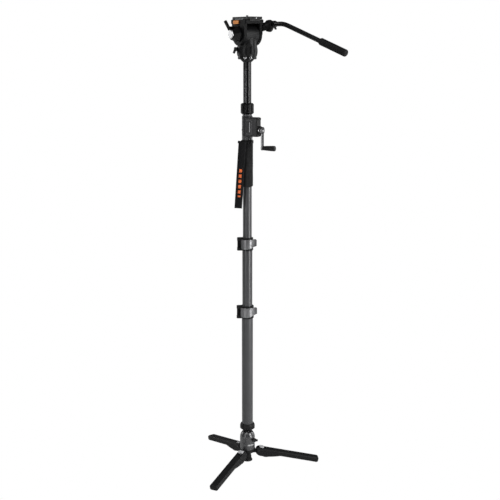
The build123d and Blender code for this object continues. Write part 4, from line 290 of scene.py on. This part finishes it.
PALETTE = {
    "tube": twill_tube("carbon tube"),
    "column": gloss_column("black anodised column"),
    "cast": moulded("black cast alloy", (0.008, 0.008, 0.0085), 0.46, 1700.0, 0.14, Specular_IOR_Level=0.3),
    "head": moulded("black enamelled head", (0.006, 0.006, 0.0065), 0.38, 2100.0, 0.10,
                    Specular_IOR_Level=0.28),
    "plate": moulded("black plate", (0.006, 0.006, 0.0065), 0.42, 2100.0, 0.10, Specular_IOR_Level=0.25),
    # Darker copy of the head's black enamel: painted shade, for the tilt frame that sits less lit
    "frame": moulded("black enamelled frame with painted shade", (0.003, 0.003, 0.0035), 0.46, 2100.0, 0.10,
                     Specular_IOR_Level=0.13),
    "knob": moulded("black drag knob", (0.003, 0.003, 0.0035), 0.36, 1800.0, 0.10, Specular_IOR_Level=0.22),
    "tab": moulded("pale release tab", (0.66, 0.66, 0.67), 0.30, 1900.0, 0.05),
    "dome": moulded("dark grey satin", (0.046, 0.046, 0.049), 0.30, 1900.0, 0.08, Specular_IOR_Level=0.9,
                    Coat_Weight=1.0, Coat_Roughness=0.24),
    "legs": moulded("matte black composite", (0.007, 0.007, 0.0075), 0.50, 1100.0, 0.25,
                    Specular_IOR_Level=0.3),
    "lever": moulded("grey satin lever", (0.31, 0.31, 0.317), 0.36, 2400.0, 0.05, Metallic=0.75,
                     Specular_IOR_Level=0.5),
    "housing": moulded("dark grey housing", (0.030, 0.030, 0.032), 0.38, 2000.0, 0.08,
                       Specular_IOR_Level=0.5),
    "arm": metal("grey crank arm", (0.48, 0.48, 0.49), 0.34),
    "steel": metal("plain steel", (0.50, 0.50, 0.51), 0.28),
    # Blackened steel made lighter grey: partly painted highlight, for the highlight line down the column
    # over its rack
    "rack": metal("blackened rack lightened as painted highlight", (0.21, 0.21, 0.215), 0.36),
    "pin": metal("blackened pin", (0.08, 0.08, 0.085), 0.35),
    "thread": metal("threaded screw", (0.48, 0.48, 0.49), 0.28),
    "silver": metal("bright satin alloy", (0.66, 0.66, 0.67), 0.30),
    "plastic": moulded("black knob plastic", (0.006, 0.006, 0.0065), 0.42, 1300.0, 0.16,
                       Specular_IOR_Level=0.35),
    "nylon": moulded("nylon", (0.035, 0.035, 0.036), 0.45, 1500.0, 0.1),
    "orange": moulded("orange button", (1.0, 0.38, 0.11), 0.30, 1600.0, 0.06),
    "rod": moulded("black rod", (0.006, 0.006, 0.0065), 0.30, 2200.0, 0.05, Specular_IOR_Level=0.5),
    # Near black: painted shade for the hollows of screw sockets
    "recess": moulded("painted shade in screw sockets", (0.004, 0.004, 0.004), 0.6, 900.0, 0.1, Specular_IOR_Level=0.1),
    "rubber": moulded("rubber", (0.007, 0.007, 0.0075), 0.66, 900.0, 0.3, Specular_IOR_Level=0.25),
}


def joint_place(name):
    """Where a joint's axis passes."""
    joints = frame["record"]["behaviour"]["joints"]
    return next(joint["pos_m"] for joint in joints if joint["name"] == name)


def mark_dome(dome):
    """Bare label on the dome's front and right, lighter with a ragged print."""
    bottom, top = 0.0585, 0.0632
    start, end, soft = -0.253, -0.118, 0.0006     # turns about the pole
    turn, high = dome.angle()
    label = dome.both(dome.within(high, bottom, top), dome.within(turn, start, end, soft),
                      dome.spread(dome.noise(520.0, 2.0), 0.35, 1.0, 0.42, 0.5))
    dome.tint(label, (0.62, 0.62, 0.62), 0.5)


def mark_housing(housing):
    """Gear housing: painted highlight bands on the necks, and an outlined panel with a plain pale bar on
    its front.
    """
    face = -0.0285                                # across the crank shaft
    bar = (0.0168, 0.0222), (1.0915, 1.1215)      # along the shaft, and heights
    panel = (0.0105, 0.0285), (1.0848, 1.1285)
    line = 0.0014
    # heights of the neck bands that get a painted highlight
    necks = (1.139, 1.170), (1.050, 1.0775)
    along, across, high = housing.parts(CRANK_YAW)
    front = housing.maths("LESS_THAN", across, face)

    def plain(run, heights, inset=0.0):
        return housing.both(front, housing.within(along, run[0] + inset, run[1] - inset),
                            housing.within(high, heights[0] + inset, heights[1] - inset))

    housing.tint(plain(*bar), (0.50, 0.50, 0.51), 0.35)
    # Painted highlight: the necks lighter and glossier, where a lamp's reflection falls
    painted_neck_highlight = housing.maths("MAXIMUM", *(housing.within(high, *heights) for heights in necks))
    housing.tint(painted_neck_highlight, (0.13, 0.13, 0.135), 0.3)
    outline = housing.maths("SUBTRACT", plain(*panel), plain(*panel, line))
    housing.tint(outline, (0.12, 0.12, 0.125), 0.3)


def mark_levers(lever):
    """Flip levers: black knuckle round the hinge pin and a darker ribbed thumb end."""
    knuckle_r, reach = 0.0070, 0.04               # the reach tells one lock from the other
    thumb_from, thumb_full, rib_pitch = 0.017, 0.025, 0.0022
    x, y, z = lever.parts()

    def knuckle(joint):
        hinge = joint_place(joint)
        dx, dy, dz = (lever.maths("SUBTRACT", value, centre) for value, centre in zip((x, y, z), hinge))
        square = lever.maths("ADD", lever.maths("MULTIPLY", dx, dx), lever.maths("MULTIPLY", dy, dy))
        return lever.both(lever.maths("LESS_THAN", lever.maths("SQRT", square), knuckle_r),
                          lever.maths("LESS_THAN", lever.maths("ABSOLUTE", dz), reach))

    thumb = lever.spread(x, 0.0, 0.92, thumb_from, thumb_full)
    ribs = lever.spread(lever.wave(z, rib_pitch), 0.0, 1.0, -0.4, 0.4)
    ribbed = lever.maths("MULTIPLY", thumb, lever.spread(ribs, 0.6, 1.0, 0.0, 1.0))
    lever.tint(ribbed, (0.06, 0.06, 0.063), 0.42)
    near = lever.maths("MAXIMUM", knuckle("lower_lock_flip"), knuckle("upper_lock_flip"))
    lever.tint(near, (0.006, 0.006, 0.0065), 0.45)


def paint_arm_edge_shade(arm):
    """Crank arm: painted shade, darker along the edges beside its pale face."""
    middle, pale_half, edge_half = 0.0596, 0.0014, 0.0021      # along the shaft
    along = arm.parts(CRANK_YAW)[0]
    off = arm.maths("ABSOLUTE", arm.maths("SUBTRACT", along, middle))
    arm.tint(arm.spread(off, 0.0, 0.9, pale_half, edge_half), (0.03, 0.03, 0.032), 0.4)


def paint_plate_edge_highlight(plate):
    """Quick plate: painted highlight, a bright bluish line along the lower edge of its knob side."""
    side = 0.0245
    start, end, soft = -0.029, 0.014, 0.002
    bottom, top = 1.4291, 1.4306
    along, across, high = plate.parts(HEAD_YAW)
    line = plate.both(plate.maths("GREATER_THAN", along, side), plate.within(across, start, end, soft),
                      plate.within(high, bottom, top))
    plate.tint(line, (0.55, 0.57, 0.60), 0.35)


def mark_thread(screw):
    """Camera screw: thread above the plate, 20 turns to the inch, with painted shade in its grooves."""
    pitch = 0.00127
    turn, high = screw.angle()
    ridge = screw.maths("FRACT", screw.maths("ADD", screw.maths("DIVIDE", high, pitch), turn))
    ridge = screw.maths("ABSOLUTE", screw.maths("SUBTRACT", ridge, 0.5))
    screw.bump(ridge, 0.9, 0.0006)
    # Painted shade: darker towards the bottom of each groove
    screw.tint(screw.spread(ridge, 0.7, 0.0, 0.1, 0.35), (0.10, 0.10, 0.10), 0.4)


mark_dome(PALETTE["dome"])
mark_housing(PALETTE["housing"])
mark_levers(PALETTE["lever"])
paint_arm_edge_shade(PALETTE["arm"])
paint_plate_edge_highlight(PALETTE["plate"])
mark_thread(PALETTE["thread"])

WEARS = {
    "tube": "lower_tube mid_tube upper_tube",
    "column": "centre_column",
    "cast": "base_hub pan_collar lower_lock_collar upper_lock_collar column_top gear_cover",
    "head": "pan_body head_base",
    "frame": "tilt_frame",
    "knob": "drag_knob tilt_lock_lever column_lock_collar",
    "tab": "leg_release_tab_1 leg_release_tab_2 leg_release_tab_3",
    "plate": "quick_plate",
    "dome": "ball_housing",
    "legs": "leg_1 leg_2 leg_3",
    "lever": "lower_lock_lever upper_lock_lever",
    "housing": "gear_housing",
    "arm": "crank_arm",
    "rack": "column_rack pinion_gear",
    "pin": "leg_pins gear_cover_screws",
    "steel": "lower_lock_fasteners upper_lock_fasteners crank_shaft head_stud base_screws tilt_axle "
             "ball_stem pan_retainer",
    "silver": "drag_cap",
    "plastic": "ball_lock_knob crank_hub crank_knob pan_lock_lever plate_lock_knob handle_knob strap_band",
    "nylon": "ball_seat ball_liner mid_guide upper_guide column_clamp_ring",
    "orange": "release_button",
    "thread": "camera_screw",
    "rod": "pan_handle",
    "rubber": "foot_pad handle_grip",
}
for key, names in WEARS.items():
    for name in names.split():
        slots = nodes[name].data.materials
        slots.clear()
        slots.append(PALETTE[key].mat)


def piece(name, bm, material, body, smooth=True):
    mesh = bpy.data.meshes.new(name)
    bm.to_mesh(mesh)
    bm.free()
    if smooth:
        mesh.polygons.foreach_set("use_smooth", [True] * len(mesh.polygons))
    made = bpy.data.objects.new(name, mesh)
    bpy.context.scene.collection.objects.link(made)
    mesh.materials.append(material)
    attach(made, body)
    return made


def skin(bm, rings, ring_closed=False):
    """Walls from ring to ring, then two caps or a wall from the last ring back to the first."""
    for lower, upper in zip(rings, rings[1:] + rings[:1] if ring_closed else rings[1:]):
        for k in range(len(lower)):
            after = (k + 1) % len(lower)
            bm.faces.new((lower[k], lower[after], upper[after], upper[k]))
    if not ring_closed:
        bm.faces.new(list(reversed(rings[0])))
        bm.faces.new(rings[-1])


def lathe(name, outline, place, material, body, steps=72, ring_closed=False):
    """Surface turned round a frame's Z axis from (radius, height) pairs, capped or closed on itself."""
    bm = bmesh.new()
    angles = [2 * math.pi * step / steps for step in range(steps)]
    rings = []
    for radius, high in outline:
        ring = [Vector((radius * math.cos(a), radius * math.sin(a), high)) for a in angles]
        rings.append([bm.verts.new(place @ corner) for corner in ring])
    skin(bm, rings, ring_closed)
    bmesh.ops.recalc_face_normals(bm, faces=bm.faces)
    return piece(name, bm, material, body)


def socket_heads(name, body, heads, size):
    """Dark six-sided sheets on screw heads, painted shade where their sockets are, from (centre, direction)
    pairs.
    """
    sides = 6
    angles = [math.tau * k / sides for k in range(sides)]
    levels = (1.0, -0.00006), (1.0, 0.00004), (0.86, 0.00001)     # share of the size, and lift
    bm = bmesh.new()
    for centre, direction in heads:
        turn = direction.to_track_quat("Z", "Y").to_matrix()
        rings = []
        for share, lift in levels:
            spokes = [Vector((math.cos(a), math.sin(a), 0)) * size * share for a in angles]
            rings.append([bm.verts.new(centre + turn @ (spoke + Vector((0, 0, lift)))) for spoke in spokes])
        skin(bm, rings)
    piece(name, bm, PALETTE["recess"].mat, body, smooth=False)


def turned(x, y, z, degrees):
    c, s = math.cos(math.radians(degrees)), math.sin(math.radians(degrees))
    return Vector((x * c - y * s, x * s + y * c, z))


def stud(name, yaw, centre, direction, radius, lift, material, body):
    """Low domed head on a surface; its centre and direction are in a frame turned about the pole."""
    turn = turned(*direction, yaw).to_track_quat("Z", "Y").to_matrix().to_4x4()
    place = Matrix.Translation(turned(*centre, yaw)) @ turn
    crown = (1.0, 0.0), (0.94, 0.55), (0.7, 0.9), (0.3, 1.0)      # shares of the radius and the lift
    outline = [(radius * share, lift * rise) for share, rise in crown]
    lathe(name, outline, place, PALETTE[material].mat, body, steps=24)


# Painted shade for the sockets in the corner screws of the gear cover and in the set screws of the head's
# base
cover_face = 0.0490
corners = [(across, high) for across in (-0.0246, -0.0074) for high in (1.0819, 1.1316)]
outward = turned(1, 0, 0, CRANK_YAW)
socket_heads("cover_screw_socket_shade", "upper_stage",
             [(turned(cover_face, across, high, CRANK_YAW), outward) for across, high in corners],
             size=0.0014)
base_face, base_screw_z = 0.0305, 1.315
base_azimuths = (-106.6, -72.2, 73.4, 107.8)
socket_heads("base_screw_socket_shade", "column",
             [(turned(base_face, 0, base_screw_z, a), turned(1, 0, 0, a)) for a in base_azimuths],
             size=0.0021)

# Set screw of the crank's hub and two pins of the quick plate
shaft_across, shaft_z, hub_r = -0.0182, 1.097, 0.0133
stud("hub_set_screw", CRANK_YAW, (0.0520, shaft_across - hub_r, shaft_z), (0, -1, 0),
     radius=0.0023, lift=0.0005, material="silver", body="crank")
stud("plate_stop_pin", HEAD_YAW, (-0.0016, 0.0449, 1.4322), (0, 1, 0),
     radius=0.0015, lift=0.0004, material="silver", body="plate")
stud("plate_side_pin", HEAD_YAW, (0.0249, 0.0310, 1.4328), (1, 0, 0),
     radius=0.0012, lift=0.0004, material="steel", body="plate")

# Wrist strap: woven loop hung on its bar, with a plain broken stripe
strap_bar, strap_lean = (-0.0152, -0.0245, 1.059), 3.7     # the lean in degrees
half, half_thick = 0.0118, 0.00062                         # of the band's width and thickness
bevel, bevel_share = 0.0006, 0.3


def strap_line():
    """Middle line of the loop, as (depth, height, outward direction) in the strap's own frame."""
    bend_r, bottom = 0.00225, -0.2031
    straight_steps, bend_steps = 60, 12
    straight = range(straight_steps + 1)
    bend = [math.pi * step / bend_steps for step in range(1, bend_steps)]
    down = [(-bend_r, bottom * step / straight_steps, (-1, 0)) for step in straight]
    low = [(-bend_r * math.cos(a), bottom - bend_r * math.sin(a), (-math.cos(a), -math.sin(a)))
           for a in bend]
    up = [(bend_r, bottom * (1 - step / straight_steps), (1, 0)) for step in straight]
    high = [(bend_r * math.cos(a), bend_r * math.sin(a), (math.cos(a), math.sin(a))) for a in bend]
    return down + low + up + high


place = Matrix.Rotation(math.radians(STRAP_YAW), 4, "Z") @ Matrix.Translation(strap_bar)
place = place @ Matrix.Rotation(math.radians(strap_lean), 4, "Y")
flat, edge = half - bevel, half_thick * bevel_share
profile = [(-flat, half_thick), (flat, half_thick), (half, edge), (half, -edge),
           (flat, -half_thick), (-flat, -half_thick), (-half, -edge), (-half, edge)]
line = strap_line()
bm = bmesh.new()
weave = bm.loops.layers.uv.new("weave")
rings = []
marks = [0.0]          # length of band up to each ring
for index, (y, z, out) in enumerate(line):
    normal = Vector((0, *out))
    rings.append([bm.verts.new(place @ (Vector((x, y, z)) + normal * lift)) for x, lift in profile])
    marks.append(marks[-1] + math.dist((y, z), line[(index + 1) % len(line)][:2]))
for index, ring in enumerate(rings):
    beyond = rings[(index + 1) % len(rings)]
    start, end = marks[index], marks[index + 1]
    for k in range(len(profile)):
        after = (k + 1) % len(profile)
        here, there = profile[k][0], profile[after][0]
        face = bm.faces.new((ring[k], beyond[k], beyond[after], ring[after]))
        for loop, uv in zip(face.loops, ((here, start), (here, end), (there, end), (there, start))):
            loop[weave].uv = uv
bmesh.ops.recalc_face_normals(bm, faces=bm.faces)
strap = piece("woven_strap", bm, webbing("strap webbing").mat, "strap")
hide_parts("wrist_strap")

# Foam grip: softly crowned and rounded at both ends
bore, end_inset = 0.01405, 0.0034
round_high, round_deep = 0.0022, 0.0016
swells, swell, settle = 3, 0.000125, 0.0002
foam_steps = 60
low, high = (Vector(corner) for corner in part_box("grip_sleeve"))
radius = (high.x - low.x) / 2
length = high.z - low.z
crown = []
for step in range(1, foam_steps):
    t = step / foam_steps
    end = min(t, 1 - t) * length
    r = radius - round_deep * max(0.0, 1 - end / round_high) ** 2
    r -= swell * math.cos(2 * math.pi * swells * t) + settle
    crown.append((r, low.z + t * length))
flat_end = radius - end_inset
outline = [(bore, low.z), (flat_end, low.z), *crown, (flat_end, high.z), (bore, high.z)]
grip = lathe("foam_grip", outline, Matrix.Identity(4), foam("foam rubber").mat, "upper_stage",
             ring_closed=True)
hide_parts("grip_sleeve")


def white_to_camera(tree, ordinary, kind, output):
    """Shows the camera plain white, and lights the scene with what is there."""
    white = tree.nodes.new(kind)
    white.inputs["Color"].default_value = (1, 1, 1, 1)
    white.inputs["Strength"].default_value = 1.0
    path = tree.nodes.new("ShaderNodeLightPath")
    mix = tree.nodes.new("ShaderNodeMixShader")
    tree.links.new(path.outputs["Is Camera Ray"], mix.inputs["Fac"])
    tree.links.new(ordinary.outputs[0], mix.inputs[1])
    tree.links.new(white.outputs[0], mix.inputs[2])
    tree.links.new(mix.outputs[0], tree.nodes[output].inputs["Surface"])


floor_z = cad_box[0][2]
bpy.ops.mesh.primitive_plane_add(size=14.0, location=(0, 0, floor_z))
floor = bpy.context.object
floor.name = "floor"
paper = bpy.data.materials.new("paper floor")
paper.use_nodes = True
bsdf = paper.node_tree.nodes["Principled BSDF"]
bsdf.inputs["Base Color"].default_value = (0.86, 0.86, 0.86, 1)
bsdf.inputs["Roughness"].default_value = 0.8
white_to_camera(paper.node_tree, bsdf, "ShaderNodeEmission", "Material Output")
floor.data.materials.append(paper)

scene = bpy.context.scene
scene.view_settings.view_transform = "Standard"
world = bpy.data.worlds.new("studio")
scene.world = world
world.use_nodes = True
sky = world.node_tree.nodes["Background"]
sky.inputs["Color"].default_value = (0.85, 0.87, 0.9, 1)
sky.inputs["Strength"].default_value = 0.07
white_to_camera(world.node_tree, sky, "ShaderNodeBackground", "World Output")

# Area lights that face the pole: azimuth from the camera's side, distance, height, width, length,
# power in watts, and the height that they aim at
SOFTBOXES = {
    "strip left": (-38.0, 2.3, 1.0, 0.30, 2.8, 11.0, 0.7),
    "strip right": (56.0, 2.2, 1.0, 0.36, 2.8, 44.0, 0.7),
    "top": (-20.0, 1.6, 3.0, 1.0, 1.0, 17.0, 1.0),
    "back left": (-120.0, 2.2, 1.4, 0.8, 2.2, 14.0, 0.7),
    "back right": (115.0, 2.2, 1.4, 0.8, 2.2, 14.0, 0.7),
}
for name, (azimuth, distance, height, width, tall, power, aim) in SOFTBOXES.items():
    a = math.radians(EYE_AZIMUTH + azimuth)
    light = bpy.data.lights.new(name, "AREA")
    light.shape = "RECTANGLE"
    light.size = width
    light.size_y = tall
    light.energy = power
    made = bpy.data.objects.new(name, light)
    made.location = (distance * math.cos(a), distance * math.sin(a), height)
    away = Vector(made.location) - Vector((0, 0, aim))
    made.rotation_euler = away.to_track_quat("Z", "Y").to_euler()
    scene.collection.objects.link(made)

# Camera at the photograph's viewing angle
photo_width, focal, pole_column = 500, 963.2, 247.27      # pixels
eye_distance, eye_height, pitch = 3.0, 1.3577, 11.912     # height above the floor; pitch down in degrees
camera = bpy.data.cameras.new("camera")
camera.sensor_width = 36
camera.lens = focal / photo_width * 36
view = bpy.data.objects.new("camera", camera)
eye = math.radians(EYE_AZIMUTH)
view.location = (eye_distance * math.cos(eye), eye_distance * math.sin(eye), floor_z + eye_height)
side = math.degrees(math.atan((photo_width / 2 - pole_column) / focal))
view.rotation_euler = (math.radians(90 - pitch), 0, math.radians(EYE_AZIMUTH + 90 - side))
scene.collection.objects.link(view)
scene.camera = view
